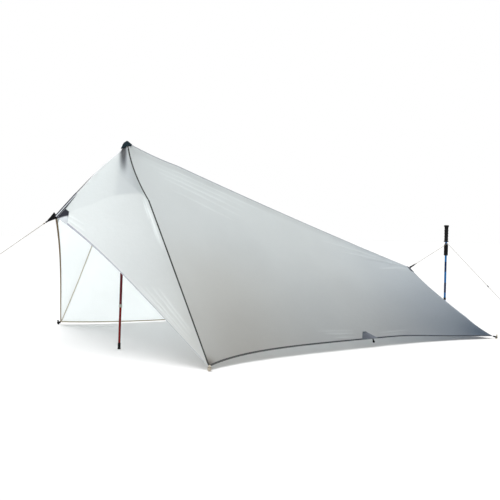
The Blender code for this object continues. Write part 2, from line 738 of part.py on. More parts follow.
def make_pole(name, foot, top, lower_out, finishes):
    """Three-tube pole from its foot on the ground to the top of its grip."""
    total = float(np.linalg.norm(top - foot))
    middle_out = total - UPPER_LENGTH - lower_out
    direction = unit(top - foot)
    pole = bpy.data.objects.new(name, None)
    bpy.context.collection.objects.link(pole)
    pole.matrix_basis = axis_frame(foot, direction)
    upper, middle, lower = tube_radii()
    middle_mouth = lower_out
    upper_mouth = lower_out + middle_out
    lower_top = FOOT_SOLE + LOWER_TUBE
    middle_top = middle_mouth + COLLAR_LIP + MIDDLE_TUBE

    make_foot(name + "_foot", pole, lower, finishes["rubber"])
    turned(name + "_lower_tube", tube_profile(lower, FOOT_SOLE, lower_top), finishes["tube"], pole, True)
    turned(name + "_lower_expander", expander_profile(lower_top, lower, middle), finishes["plastic"], pole)
    turned(name + "_lower_collar", collar_profile(middle_mouth, middle, lower), finishes["collar"], pole, True)
    turned(name + "_middle_tube", tube_profile(middle, middle_mouth + COLLAR_LIP, middle_top),
           finishes["tube"], pole, True)
    turned(name + "_middle_expander", expander_profile(middle_top, middle, upper), finishes["plastic"], pole)
    turned(name + "_upper_collar", collar_profile(upper_mouth, upper, middle), finishes["collar"], pole, True)
    turned(name + "_upper_tube", tube_profile(upper, upper_mouth + COLLAR_LIP, total - GRIP_CAP_RADIUS - GAP),
           finishes["tube"], pole, True)
    turned(name + "_grip", grip_profile(total, upper + GAP), finishes["grip"], pole)
    foam_top = total - GRIP_LENGTH - GRIP_GAP
    turned(name + "_foam", foam_profile(foam_top, upper + GAP), finishes["foam"], pole, True)


def cloth_near_peak():
    """Points of all four panels around the peak."""
    share, down = np.meshgrid(np.linspace(0, 1, 31), np.linspace(0.01, 0.30, 60), indexing="ij")
    points = [beak_panel(side, share, down).reshape(-1, 3) for side in (NEAR, FAR)]
    along, down = np.meshgrid(np.linspace(0, 0.1, 31), np.linspace(0.0, 0.2, 60), indexing="ij")
    points += [main_panel(side, along, down).reshape(-1, 3) for side in (NEAR, FAR)]
    return np.vstack(points)


def front_pole_top():
    """Top of the front grip: its domed cap is pushed up under the peak until it meets the cloth."""
    cloth = cloth_near_peak()
    clear = GRIP_CAP_RADIUS + TAPE_THICKNESS / 2 + GAP
    high, low = 0.0, 0.3
    for _ in range(40):
        depth = (high + low) / 2
        centre = PEAK - np.array([POLE_SEAT_AHEAD, 0.0, depth])
        if np.linalg.norm(cloth - centre, axis=1).min() < clear:
            high = depth
        else:
            low = depth
    centre = PEAK - np.array([POLE_SEAT_AHEAD, 0.0, low])
    return centre + unit(centre) * GRIP_CAP_RADIUS


def make_tab_and_lock(name, point, direction, neighbours, webbing, plastic):
    """Webbing tab that tapers from the cloth to a line lock, with the cord's start inside the lock."""
    start = point + direction * (reach_of(neighbours, point, direction, 0.03) + SEAT_GAP)
    place = frame_at(start, direction, UP)
    half = TAB_THICKNESS / 2
    profile = [(0, -TAB_ROOT_HEIGHT / 2), (TAB_LENGTH, -TAB_TIP_HEIGHT / 2), (TAB_LENGTH, TAB_TIP_HEIGHT / 2),
               (0, TAB_ROOT_HEIGHT / 2)]
    points = [(x, y, z) for y in (-half, half) for x, z in profile]
    faces = [(0, 1, 2, 3), (7, 6, 5, 4), (0, 4, 5, 1), (1, 5, 6, 2), (2, 6, 7, 3), (3, 7, 4, 0)]
    solid(name + "_tab", points, faces, webbing, place)
    bore = CORD_DIAMETER / 2 + GAP
    shoulder = 0.2 * LOCK_LENGTH
    outline = [(0, 0), (0.7 * LOCK_RADIUS, 0), (LOCK_RADIUS, shoulder), (LOCK_RADIUS, 0.6 * LOCK_LENGTH),
               (0.65 * LOCK_RADIUS, LOCK_LENGTH), (bore, LOCK_LENGTH), (bore, LOCK_LENGTH - LOCK_BORE_DEPTH),
               (0, LOCK_LENGTH - LOCK_BORE_DEPTH)]
    lock_start = start + direction * (TAB_LENGTH + SEAT_GAP)
    turned(name + "_line_lock", outline, plastic, None, place=axis_frame(lock_start, direction))
    return lock_start + direction * (LOCK_LENGTH - LOCK_BORE_DEPTH + SEAT_GAP)


def cord_tube(name, route, material):
    """Cord as a round tube along its route."""
    curve = bpy.data.curves.new(name, "CURVE")
    curve.dimensions = "3D"
    curve.bevel_depth = CORD_DIAMETER / 2
    curve.bevel_resolution = 1
    curve.use_fill_caps = True
    line = curve.splines.new("POLY")
    line.points.add(len(route) - 1)
    for target, point in zip(line.points, route):
        target.co = (*point, 1.0)
    curve.materials.append(material)
    piece = bpy.data.objects.new(name, curve)
    bpy.context.collection.objects.link(piece)
    return piece


def stake_loop(place, arriving_from):
    """Cord's last points: once round a stake under its head, in the plane square to the stake."""
    radius = STAKE_RADIUS + CORD_DIAMETER / 2 + SEAT_GAP
    height = STAKE_ABOVE_GROUND - STAKE_HEAD - STAKE_NOTCH_WIDTH - STAKE_NOTCH_DEPTH - CORD_DIAMETER
    local = place.inverted() @ Vector(arriving_from)
    bearing = math.atan2(local.y, local.x)
    start = bearing + math.acos(radius / math.hypot(local.x, local.y))
    turns = np.radians(np.arange(0, 301, 15))
    drop = CORD_DIAMETER * 1.3
    points = []
    for turn in turns:
        angle = start - turn
        level = height - drop * turn / turns[-1]
        points.append(np.array(place @ Vector((radius * math.cos(angle), radius * math.sin(angle), level))))
    return points


def hitch_points(pole_x, height):
    """Cord wound round the rear pole's upper tube, in and out on its near side."""
    radius = UPPER_RADIUS + CORD_DIAMETER / 2 + SEAT_GAP
    turns = np.linspace(0, math.tau * HITCH_TURNS, 18 * HITCH_TURNS + 1)
    angles = turns - math.pi / 2
    levels = height + HITCH_PITCH * turns / math.tau
    return [np.array([pole_x + radius * math.cos(a), CENTRE + radius * math.sin(a), z])
            for a, z in zip(angles, levels)]


def make_runner(name, start, end, plastic):
    """Waisted barrel that slides along a straight stretch of cord."""
    direction = unit(end - start)
    middle = start + (end - start) * RUNNER_PLACE
    bore = CORD_DIAMETER / 2 + 2 * GAP
    half = RUNNER_LENGTH / 2
    outline = [(0.8 * RUNNER_RADIUS, -half), (RUNNER_RADIUS, -0.8 * half), (0.75 * RUNNER_RADIUS, 0),
               (RUNNER_RADIUS, 0.8 * half), (0.8 * RUNNER_RADIUS, half), (bore, half), (bore, -half)]
    turned(name, outline, plastic, None, True, axis_frame(middle, direction))


def make_lines(webbing, plastic, cord, metal, rear_pole_x, rear_pole_height):
    """Front guyline to its stake, and rear guyline over the rear pole to its stake."""
    front_ground = np.array([PEAK_BACK - FRONT_STAKE_AHEAD, CENTRE, 0.0])
    place = stake_place(front_ground, np.array([-1.0, 0.0, 0.0]))
    make_stake("front_guy_stake", place, metal)
    towards = unit(front_ground + UP * STAKE_ABOVE_GROUND / 2 - BEAK_POINT)
    beak_end = ["beak_ridge_seam", "front_patch", "near_beak_hem", "far_beak_hem"]
    start = make_tab_and_lock("front", BEAK_POINT, towards, beak_end, webbing, plastic)
    cord_tube("front_guyline", [start] + stake_loop(place, start), cord)

    rear_ground = np.array([PEAK_BACK + REAR_STAKE_REACH, CENTRE, 0.0])
    place = stake_place(rear_ground, np.array([1.0, 0.0, 0.0]))
    make_stake("rear_guy_stake", place, metal)
    height = rear_pole_height - GRIP_LENGTH - GRIP_GAP / 2 - HITCH_TURNS * HITCH_PITCH / 2
    wound = hitch_points(rear_pole_x, height)
    towards = unit(wound[0] - RIDGE_END)
    ridge_end = ["ridge_seam", "rear_patch", "near_rear_hem", "far_rear_hem"]
    start = make_tab_and_lock("rear", RIDGE_END, towards, ridge_end, webbing, plastic)
    last = stake_loop(place, wound[-1])
    cord_tube("rear_guyline", [start] + wound + last, cord)
    make_runner("rear_line_runner", wound[-1], last[0], plastic)


def make_tarp():
    for leftover in list(bpy.data.objects):
        bpy.data.objects.remove(leftover)
    cloth = new_material("silicone coated nylon", (0.60, 0.63, 0.65), 0.45)
    tape = new_material("grey bound seam tape", (0.14, 0.16, 0.19), 0.75)
    patch_cloth = new_material("grey reinforcement cloth", (0.20, 0.21, 0.22), 0.70)
    cap_cloth = new_material("dark teal reinforcement cloth", (0.012, 0.035, 0.050), 0.65)
    webbing = new_material("black webbing", (0.012, 0.012, 0.013), 0.85)
    plastic = new_material("black acetal", (0.015, 0.015, 0.016), 0.40)
    cord = new_material("pale braided cord", (0.72, 0.74, 0.68), 0.80)
    metal = new_material("black anodised aluminium", (0.020, 0.020, 0.022), 0.45, 0.8)
    shared = {"plastic": plastic, "rubber": new_material("black rubber", (0.013, 0.013, 0.014), 0.80),
              "grip": new_material("black moulded grip", (0.014, 0.014, 0.015), 0.70),
              "foam": new_material("black foam grip", (0.016, 0.016, 0.018), 0.95)}
    front = dict(shared, tube=new_material("red anodised aluminium", (0.20, 0.006, 0.004), 0.35, 0.7),
                 collar=new_material("pale grey collar", (0.55, 0.55, 0.55), 0.40))
    rear = dict(shared, tube=new_material("blue anodised aluminium", (0.020, 0.080, 0.230), 0.35, 0.7),
                collar=new_material("black collar", (0.015, 0.015, 0.017), 0.45))

    make_panels(cloth)
    make_seams(tape)
    make_hems(tape)
    make_patches(patch_cloth)
    make_peak_cap(cap_cloth)
    make_corners(webbing, metal)
    make_side_loops(webbing)
    make_pole("front_pole", np.zeros(3), front_pole_top(), FRONT_LOWER_OUT, front)
    rear_foot = np.array([PEAK_BACK + REAR_POLE_REACH, CENTRE, 0.0])
    rear_height = UPPER_LENGTH + REAR_MIDDLE_OUT + REAR_LOWER_OUT
    make_pole("rear_pole", rear_foot, rear_foot + UP * rear_height, REAR_LOWER_OUT, rear)
    make_lines(webbing, plastic, cord, metal, rear_foot[0], rear_height)


make_tarp()
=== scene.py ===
"""Ultralight camping tarp over two trekking poles, dressed for a studio photograph.

Metres, with the ground at z = 0 and the front pole's foot at the origin. +X runs along the ridge to the rear, -Y is
the near side. Every cloth piece is a surface of two shares, from 0 to 1, one along it and one across it, worked out
on a grid. Both sides share one formula, and a few values differ from side to side.
"""

import math

import bmesh
import bpy
import numpy as np
from mathutils import Matrix


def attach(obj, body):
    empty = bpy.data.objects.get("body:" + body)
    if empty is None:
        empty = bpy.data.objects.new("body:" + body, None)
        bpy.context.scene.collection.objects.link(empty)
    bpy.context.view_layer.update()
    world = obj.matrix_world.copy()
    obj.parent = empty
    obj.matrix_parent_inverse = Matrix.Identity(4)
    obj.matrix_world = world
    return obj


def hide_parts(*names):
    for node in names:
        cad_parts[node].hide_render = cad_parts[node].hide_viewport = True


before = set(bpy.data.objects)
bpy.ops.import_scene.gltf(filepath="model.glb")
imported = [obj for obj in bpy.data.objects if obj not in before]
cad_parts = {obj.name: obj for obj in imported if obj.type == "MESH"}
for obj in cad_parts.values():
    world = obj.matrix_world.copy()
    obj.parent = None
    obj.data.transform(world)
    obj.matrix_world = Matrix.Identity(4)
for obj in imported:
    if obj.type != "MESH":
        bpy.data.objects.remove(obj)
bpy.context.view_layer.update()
NEAR, FAR = -1, 1
SIDES = {NEAR: "near", FAR: "far"}

# The pitch: where the cloth is held
PEAK_BACK, CENTRE, PEAK_HEIGHT = 0.13, 0.21, 1.262
BEAK_REACH, BEAK_HEIGHT = 0.458, 0.787
RIDGE_RUN, RIDGE_END_HEIGHT = 2.56, 0.45
FRONT_HALF_WIDTH, FRONT_CORNER_BACK = 1.055, -0.02
REAR_HALF_WIDTH, REAR_CORNER_BACK = 0.985, 2.36
CORNER_HEIGHT = 0.018

# How far each edge is cut away from a straight line. A tuck is a short parabola at one end of it, over that reach.
RIDGE_SAG, RIDGE_TUCK, RIDGE_TUCK_REACH = 0.016, 0.008, 0.14
BEAK_RIDGE_RISE, BEAK_BILLOW, BEAK_HEM_BOW, BEAK_HEM_SKEW = 0.008, 0.018, {NEAR: 0.028, FAR: 0.020}, 0.6
HIP_BOW, HIP_TUCK, HIP_TUCK_REACH = {NEAR: 0.002, FAR: 0.020}, 0.024, 0.30
SIDE_BOW, SIDE_LIFT = 0.145, {NEAR: 0.035, FAR: -0.007}
REAR_BOW, REAR_TOP_TUCK, REAR_TOP_REACH, REAR_CORNER_TUCK, REAR_CORNER_REACH = 0.048, 0.004, 0.45, 0.014, 0.25

# Where the cloth rests on the pole's cap: how far down the beak's ridge, how wide and how far out, then just behind
CAP_RESTS = (0.022, 0.020, 0.0085), (0.100, 0.042, -0.0120), (0.170, 0.045, -0.0040)
PEAK_LIFT_BACK, PEAK_LIFT_WIDTH, PEAK_LIFT = 0.009, 0.016, 0.006

# Cloth, tape and webbing, and the part of the light that the cloth's deepest painted shade takes away
CLOTH_THICKNESS, TAPE_THICKNESS, DEEPEST = 0.0006, 0.0013, 0.82
SEAM_HALF_WIDTH, HEM_WIDTH, FAR_BEAK_HEM = 0.0075, 0.012, 0.0075
PATCH_THICKNESS, CAP_THICKNESS, CAP_RADIUS = 0.0009, 0.0014, 0.046
CAP_REACHES, CAP_STEPS = (0.75, 0.75, 1.30, 0.95), 16
FRONT_PATCH_LENGTH, FRONT_PATCH_TOP_REACH, FRONT_PATCH_HEM_REACH = 0.072, 0.054, 0.108
FRONT_TAIL_LENGTH, FRONT_TAIL_ROOT_REACH, FRONT_TAIL_TIP_REACH = 0.120, 0.024, 0.012
REAR_PATCH_LENGTH, REAR_PATCH_HALF_WIDTH = 0.036, 0.085
SIDE_PATCH_WIDTH, SIDE_PATCH_HEIGHT, SIDE_PATCH_START, SIDE_PATCH_LEAN = 0.142, 0.064, 0.519, 0.052
WEBBING_THICKNESS, WEBBING_WIDTH, CORNER_WEBBING_WIDTH = 0.0014, 0.010, 0.016
SIDE_LOOP_RADIUS, LOOP_NECK, LOOP_SEWN, LOOP_SLIT = 0.0048, 0.012, 0.006, 0.0001
# Where each loop's ring is: back from the front pole, aside from the middle, and up
CORNER_LOOP, REAR_LOOP = (0.10005, 1.07471, 0.01331), (2.50301, 1.00224, 0.01341)
SIDE_LOOP = {NEAR: (1.4416, 0.87819, 0.03561), FAR: (1.4416, 0.87819, 0.02065)}
FRONT_BEARING, REAR_BEARING = math.radians(116.861), math.radians(52.951)
TAB_REACH, FRONT_TAB_SEAT, REAR_TAB_SEAT = 0.050, 0.0012, 0.00215
FRONT_TAB_LENGTH, REAR_TAB_LENGTH, FRONT_TAB_HEIGHT, REAR_TAB_HEIGHT = 0.060, 0.050, 0.045, 0.018
TAB_TIP_HEIGHT, TAB_THICKNESS, TAB_HOLLOW = 0.012, 0.0032, 0.0012
GAP, SEAT_GAP = 0.0003, 0.0004

# Cord, its fittings and the stakes
CORD_DIAMETER, CORD_STEP = 0.0025, 0.02
LOCK_LENGTH, LOCK_RADIUS, LOCK_BORE_DEPTH = 0.018, 0.0048, 0.006
HITCH_TURNS, HITCH_PITCH, HITCH_MIDDLE = 2, 0.0036, 0.652
STAKE_RADIUS, STAKE_ABOVE_GROUND, STAKE_HEAD, STAKE_NOTCH_WIDTH = 0.007, 0.032, 0.008, 0.005
STAKE_NOTCH_DEPTH, STAKE_LEAN = 0.0025, math.radians(12)
STAKE_LOOP_POINTS, STAKE_LOOP_TURN, STAKE_LOOP_DROP = 41, math.radians(300), 1.3 * CORD_DIAMETER
KNOT_TURNS, KNOT_LENGTH, KNOT_FROM_LOCK, KNOT_FROM_STAKE = 3.5, 0.0085, 0.016, 0.020
FRONT_STAKE, REAR_STAKE = np.array([-1.41, CENTRE, 0.0]), np.array([4.07, CENTRE, 0.0])

# The two trekking poles, from the foot up
POLE_SEAT_AHEAD, POLE_SEAT_DEPTH = 0.010, 0.04838
REAR_POLE_X, REAR_POLE_LENGTH = 3.13, 0.81
UPPER_LENGTH, MIDDLE_TUBE, LOWER_TUBE = 0.64, 0.50, 0.46
FRONT_LOWER_OUT, REAR_LOWER_OUT = 0.25, 0.10
UPPER_RADIUS, MIDDLE_RADIUS, LOWER_RADIUS, TUBE_WALL = 0.009, 0.008, 0.007, 0.0007
COLLAR_LENGTH, COLLAR_WALL, COLLAR_LIP, COLLAR_WAIST = 0.018, 0.0022, 0.005, 0.0006
EXPANDER_HEAD, EXPANDER_STEM = 0.024, 0.014
FOOT_LENGTH, FOOT_WALL, FOOT_SOLE, FOOT_GROOVE = 0.038, 0.0018, 0.012, 0.0006
GRIP_LENGTH, GRIP_RADIUS, GRIP_CAP_RADIUS, GRIP_SWELL, GRIP_SWELLS = 0.145, 0.0165, 0.018, 0.0010, 4
GRIP_CAP_WIDTH, GRIP_RIM, GRIP_GAP = 0.0215, 0.0085, 0.018
FOAM_LENGTH, FOAM_RADIUS, FOAM_GROOVES, FOAM_GROOVE, FOAM_SHOULDER = 0.097, 0.0172, 7, 0.0005, 0.0055

UP, BACK = np.array([0.0, 0.0, 1.0]), np.array([1.0, 0.0, 0.0])
PEAK = np.array([PEAK_BACK, CENTRE, PEAK_HEIGHT])
BEAK_POINT = np.array([PEAK_BACK - BEAK_REACH, CENTRE, BEAK_HEIGHT])
RIDGE_END = np.array([PEAK_BACK + RIDGE_RUN, CENTRE, RIDGE_END_HEIGHT])
TENT_MIDDLE = np.array([PEAK_BACK + 0.3 * RIDGE_RUN, CENTRE, 0.25 * PEAK_HEIGHT])

# The shares that each panel's grid runs between, just inside its edges, and how many there are
MAIN_SHARES, BEAK_SHARES = ((0.0008, 0.9985, 280), (0.0012, 0.997, 175)), ((0.001, 0.999, 150), (0.012, 0.997, 190))

# Folds in the cloth: the shares along (or across) and down where each starts and ends, its width and its height
MAIN_FOLDS = (((0.03, 0.040), (0.42, 0.062), 0.005, 0.0035), ((0.05, 0.066), (0.36, 0.098), 0.005, 0.0030),
              ((0.07, 0.090), (0.33, 0.140), 0.006, 0.0040), ((0.08, 0.115), (0.32, 0.190), 0.006, 0.0035),
              ((0.10, 0.175), (0.28, 0.245), 0.006, 0.0030), ((0.66, 0.190), (0.99, 0.012), 0.007, 0.0050),
              ((0.76, 0.175), (0.99, 0.016), 0.006, -0.0040), ((0.60, 0.130), (0.985, 0.010), 0.008, 0.0035),
              ((0.80, 0.260), (0.99, 0.030), 0.010, 0.0040), ((0.40, 0.945), (0.512, 0.955), 0.006, 0.0045),
              ((0.38, 0.925), (0.515, 0.935), 0.006, 0.0035), ((0.42, 0.975), (0.510, 0.978), 0.005, 0.0040),
              ((0.59, 0.962), (0.72, 0.945), 0.007, 0.0040), ((0.59, 0.978), (0.70, 0.972), 0.006, 0.0030))
BEAK_FOLDS = (((0.55, 0.962), (0.90, 0.972), 0.004, 0.0030), ((0.60, 0.930), (0.92, 0.955), 0.004, 0.0028),
              ((0.66, 0.880), (0.93, 0.925), 0.005, 0.0030), ((0.72, 0.845), (0.95, 0.900), 0.005, 0.0028),
              ((0.86, 0.300), (0.93, 0.560), 0.008, 0.0040), ((0.80, 0.330), (0.84, 0.440), 0.005, 0.0020),
              ((0.86, 0.430), (0.89, 0.540), 0.005, 0.0022), ((0.01, 0.930), (0.16, 0.900), 0.004, 0.0020),
              ((0.02, 0.960), (0.18, 0.945), 0.004, 0.0020))

# The camera, solved with the tarp, and the lamps: where from, how wide in degrees, and what a white surface shows
CAMERA_PLACE, CAMERA_ANGLES = (-1.8869, -4.0689, 0.705), np.radians((34.763, -1.266, 1.109))
FOCAL_LENGTH, FRAME_WIDTH, SENSOR_WIDTH = 742.75, 500, 36.0
LAMPS = (("soft light from above", (-0.25, 0.12, 0.95), 70, 0.95),
         ("soft light in front", (-0.35, -0.75, 0.55), 90, 0.25))
FLOOR_REACH, FLOOR_LIFT, SKY_LIGHT, SKY_SEEN = 60.0, 0.05, 0.38, 1.0


def unit(vector):
    """Each vector over its length."""
    vector = np.asarray(vector, dtype=float)
    return vector / np.linalg.norm(vector, axis=-1, keepdims=True)


def span(start, end):
    """Straight distance from each start to its end."""
    return np.linalg.norm(start - end, axis=-1)


def mix(start, end, share):
    """The start times what the share leaves of 1, plus the end times the share."""
    share = np.asarray(share, dtype=float)[..., None]
    return start * (1 - share) + end * share


def arch(share):
    """Parabola, 0 at both ends and 1 in the middle."""
    share = np.asarray(share, dtype=float)[..., None]
    return 4 * share * (1 - share)


def flat_arch(share):
    """1 - |2s - 1| ** (4 - 1.5 s): an arch with a flat top and steep ends, steepest in front."""
    share = np.asarray(share, dtype=float)[..., None]
    return 1 - np.abs(2 * share - 1) ** (4 - 1.5 * share)


def tuck(share, reach):
    """The same parabola over the first part of the share alone."""
    return arch(np.clip(np.asarray(share, dtype=float) / reach, 0, 1))


def smooth(value, low, high):
    """Cubic step from 0 at low to 1 at high."""
    share = np.clip((value - low) / (high - low), 0, 1)
    return share * share * (3 - 2 * share)


def bell(value, middle, width):
    """exp(-((v - middle) / width) squared)."""
    return np.exp(-((value - middle) / width) ** 2)


def front_corner(side):
    """Half the front width out from the middle on its side, by the pole."""
    return np.array([PEAK_BACK + FRONT_CORNER_BACK, CENTRE + side * FRONT_HALF_WIDTH, CORNER_HEIGHT])


def rear_corner(side):
    """Half the rear width out from the middle on its side, at the rear."""
    return np.array([PEAK_BACK + REAR_CORNER_BACK, CENTRE + side * REAR_HALF_WIDTH, CORNER_HEIGHT])


def ridge(along):
    """Straight line from the peak to the rear end, lowered by a parabola and by a tuck just behind the peak."""
    return mix(PEAK, RIDGE_END, along) - (RIDGE_SAG * arch(along) + RIDGE_TUCK * tuck(along, RIDGE_TUCK_REACH)) * UP


def beak_outward():
    """The beak's ridge line, and the direction square to it that points up and forward."""
    line = unit(BEAK_POINT - PEAK)
    return line, np.array([line[2], 0.0, -line[0]])


def beak_ridge(along):
    """Straight line from the peak to the beak's point, plus a parabola outwards."""
    return mix(PEAK, BEAK_POINT, along) + BEAK_RIDGE_RISE * arch(along) * beak_outward()[1]


def hip(side, along):
    """Straight line from the peak to the front corner, plus a parabola to the rear, less a tuck below the peak."""
    backward = HIP_BOW[side] * arch(along) - HIP_TUCK * tuck(along, HIP_TUCK_REACH)
    return mix(PEAK, front_corner(side), along) + backward * BACK


def side_hem(side, along):
    """Straight line from corner to corner, plus a flat arch inwards and up. The lift halves towards the rear."""
    lift = SIDE_LIFT[side] * (1 - 0.5 * smooth(np.asarray(along), 0.65, 0.90))
    inward = flat_arch(along) * np.array([0.0, -side * SIDE_BOW, 0.0]) + flat_arch(along) * lift[..., None] * UP
    return mix(front_corner(side), rear_corner(side), along) + inward


def rear_edge(side, along):
    """Straight line from the ridge's end to the rear corner, moved forward by a parabola and a tuck at each end."""
    top, corner = tuck(along, REAR_TOP_REACH), tuck(1 - np.asarray(along), REAR_CORNER_REACH)
    forward = REAR_BOW * arch(along) + REAR_TOP_TUCK * top + REAR_CORNER_TUCK * corner
    return mix(RIDGE_END, rear_corner(side), along) - forward * BACK


def beak_hem(side, along):
    """Straight line from the beak's point to the corner, plus a parabola towards the peak, steeper at the point."""
    line = unit(front_corner(side) - BEAK_POINT)
    to_peak = PEAK - BEAK_POINT
    inward = unit(to_peak - line * np.dot(to_peak, line))
    skew = 1 + BEAK_HEM_SKEW * (1 - 2 * np.asarray(along, dtype=float)[..., None])
    return mix(BEAK_POINT, front_corner(side), along) + BEAK_HEM_BOW[side] * arch(along) * skew * inward


def settle(points):
    """Moves cloth near the peak out over the shoulder of the pole's cap and in behind it: bells of the distance to
    three places down the beak's ridge, along the ridge's outward normal, and one upward just behind the peak."""
    line, outward = beak_outward()
    moved = points
    for place, width, push in CAP_RESTS:
        moved = moved + push * bell(span(points, PEAK + place * line), 0, width)[..., None] * outward
    lift = PEAK_LIFT * bell(span(points, PEAK + PEAK_LIFT_BACK * BACK), 0, PEAK_LIFT_WIDTH)
    return moved + lift[..., None] * UP


def main_panel(side, along, down):
    """Blend of the ridge and side hem across, plus the hip seam and rear edge along, less the four corners."""
    lengthwise = mix(ridge(along), side_hem(side, along), down)
    crosswise = mix(hip(side, down), rear_edge(side, down), along)
    corners = mix(mix(PEAK, RIDGE_END, along), mix(front_corner(side), rear_corner(side), along), down)
    return settle(lengthwise + crosswise - corners)


def beak_panel(side, across, down):
    """Blend of the beak's ridge and the hip seam, plus the cut of the hem and a billow that is nil at all edges."""
    down = np.asarray(down, dtype=float)
    cloth = mix(beak_ridge(down), hip(side, down), across)
    hem_cut = beak_hem(side, across) - mix(BEAK_POINT, front_corner(side), across)
    outward = unit(np.cross(BEAK_POINT - PEAK, front_corner(side) - PEAK)) * side
    return settle(cloth + hem_cut * down[..., None] + BEAK_BILLOW * arch(across) * arch(down) * outward)


def main_width(side, down):
    """Straight distance across a main panel, from the hip to the rear edge."""
    return span(hip(side, down), rear_edge(side, down))


def main_drop(side, along):
    """Straight distance down a main panel, from the ridge to the side hem."""
    return span(ridge(along), side_hem(side, along))


def beak_width(side, down):
    """Straight distance across a beak panel, from the beak's ridge to the hip."""
    return span(beak_ridge(down), hip(side, down))


def beak_drop(side, across):
    """Straight distance down a beak panel, from the peak to its hem."""
    return span(PEAK, beak_hem(side, across))


def normals_of(grid):
    """Cross product of the steps along the grid's two directions, turned away from the shelter's middle."""
    normals = unit(np.cross(np.gradient(grid, axis=0), np.gradient(grid, axis=1)))
    away = np.sum(normals * (grid - TENT_MIDDLE), axis=-1).mean()
    return normals * (1.0 if away > 0 else -1.0)


def put_mesh(name, points, faces, uv=None, paints=None, face_slots=None):
    """Mesh of a point array and an array of quads, with a UV and named values for each point."""
    mesh = bpy.data.meshes.new(name)
    points = np.ascontiguousarray(points.reshape(-1, 3), dtype=np.float32)
    faces = np.ascontiguousarray(faces, dtype=np.int32)
    mesh.vertices.add(len(points))
    mesh.vertices.foreach_set("co", points.ravel())
    mesh.loops.add(faces.size)
    mesh.loops.foreach_set("vertex_index", faces.ravel())
    mesh.polygons.add(len(faces))
    mesh.polygons.foreach_set("loop_start", np.arange(len(faces), dtype=np.int32) * faces.shape[1])
    if face_slots is not None:
        mesh.polygons.foreach_set("material_index", np.asarray(face_slots, dtype=np.int32))
    if uv is not None:
        layer = mesh.uv_layers.new(name="UVMap")
        layer.uv.foreach_set("vector", np.ascontiguousarray(uv.reshape(-1, 2)[faces.ravel()], np.float32).ravel())
    for key, values in (paints or {}).items():
        attribute = mesh.attributes.new(key, "FLOAT", "POINT")
        attribute.data.foreach_set("value", np.ascontiguousarray(values, dtype=np.float32).ravel())
    mesh.update(calc_edges=True)
    mesh.validate()
    return mesh


def outward(mesh, weld=0.0):
    """Joins points that lie together and turns a closed mesh's faces outwards."""
    body = bmesh.new()
    body.from_mesh(mesh)
    if weld:
        bmesh.ops.remove_doubles(body, verts=body.verts, dist=weld)
        bmesh.ops.dissolve_degenerate(body, edges=body.edges, dist=weld / 10)
    bmesh.ops.recalc_face_normals(body, faces=body.faces)
    body.to_mesh(mesh)
    body.free()


def closed_mesh(name, grid, uv, sharp_angle=180):
    """Mesh of a grid that closes on itself, welded, turned outwards and smooth up to an angle in degrees."""
    mesh = put_mesh(name, grid, grid_faces(*grid.shape[:2]), uv)
    outward(mesh, 1e-7)
    mesh.shade_smooth()
    if sharp_angle < 180:
        mesh.set_sharp_from_angle(angle=math.radians(sharp_angle))
    return mesh


def place_piece(name, mesh, materials, slot, body, nodes=()):
    """Object at the origin that rides on a body, takes the given finishes and stands for its CAD nodes. The slot is not
    used.
    """
    for material in materials:
        mesh.materials.append(material)
    piece = bpy.data.objects.new(name, mesh)
    bpy.context.collection.objects.link(piece)
    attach(piece, body)
    if nodes:
        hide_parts(*nodes)
    return piece


def grid_faces(rows, columns):
    """A quad for each cell of a grid, from its four corners in turn."""
    index = np.arange(rows * columns).reshape(rows, columns)
    return np.stack([index[:-1, :-1], index[1:, :-1], index[1:, 1:], index[:-1, 1:]], axis=-1).reshape(-1, 4)


def rim_of(rows, columns):
    """Indices round the edge of a grid, once round."""
    index = np.arange(rows * columns).reshape(rows, columns)
    return np.concatenate([index[0, :-1], index[:-1, -1], index[-1, :0:-1], index[:0:-1, 0]])


def closed_sheet(name, grid, thickness, materials, slot, nodes, uv, lift=0.0, paints=None):
    """Two copies of a grid, each half the thickness off it along its normals, joined round the rim. The first
    material is on the outside, the last on the inside and the rim. A painted value is spread over both copies, or
    has one layer for the outside and one for the inside."""
    rows, columns = grid.shape[:2]
    normals = normals_of(grid)
    half = np.broadcast_to(np.asarray(thickness, dtype=float) / 2, (rows, columns))[..., None]
    lift = np.broadcast_to(np.asarray(lift, dtype=float), (rows, columns))[..., None]
    copies = np.stack([grid + normals * (lift + half), grid + normals * (lift - half)])
    count = rows * columns
    faces, rim = grid_faces(rows, columns), rim_of(rows, columns)
    after = np.roll(rim, -1)
    wall = np.stack([rim, after, after + count, rim + count], axis=-1)
    row, column = rows // 2, columns // 2
    turn = np.cross(grid[row + 1, column] - grid[row, column], grid[row, column + 1] - grid[row, column])
    if turn @ normals[row, column] > 0:
        every = np.concatenate([faces, faces[:, ::-1] + count, wall])
    else:
        every = np.concatenate([faces[:, ::-1], faces + count, wall[:, ::-1]])
    face_slots = np.concatenate([np.zeros(len(faces)), np.full(len(faces) + len(wall), len(materials) - 1)])
    both = {key: np.broadcast_to(values, (2, rows, columns)).ravel() for key, values in (paints or {}).items()}
    mesh = put_mesh(name, copies, every, np.stack([uv, uv]), both, face_slots)
    mesh.shade_smooth()
    mesh.set_sharp_from_angle(angle=math.radians(50))
    return place_piece(name, mesh, materials, slot, "tarp", nodes)


def crease(grid, start, end, width, height, power=0.7):
    """Height of a fold from start to end: a bell of the distance across it, a half sine along it."""
    line = end - start
    share = np.clip((grid - start) @ line / (line @ line), 0, 1)
    distance = np.linalg.norm(grid - start - share[..., None] * line, axis=-1)
    return height * np.sin(np.pi * share) ** power / (1 + (distance / width) ** 2) ** 1.5


def metric_uv(grid, origin, along, across):
    """Distances in metres from the origin along two directions that are square to each other."""
    along = unit(along)
    across = unit(across - along * (across @ along))
    return np.stack([(grid - origin) @ along, (grid - origin) @ across], axis=-1)


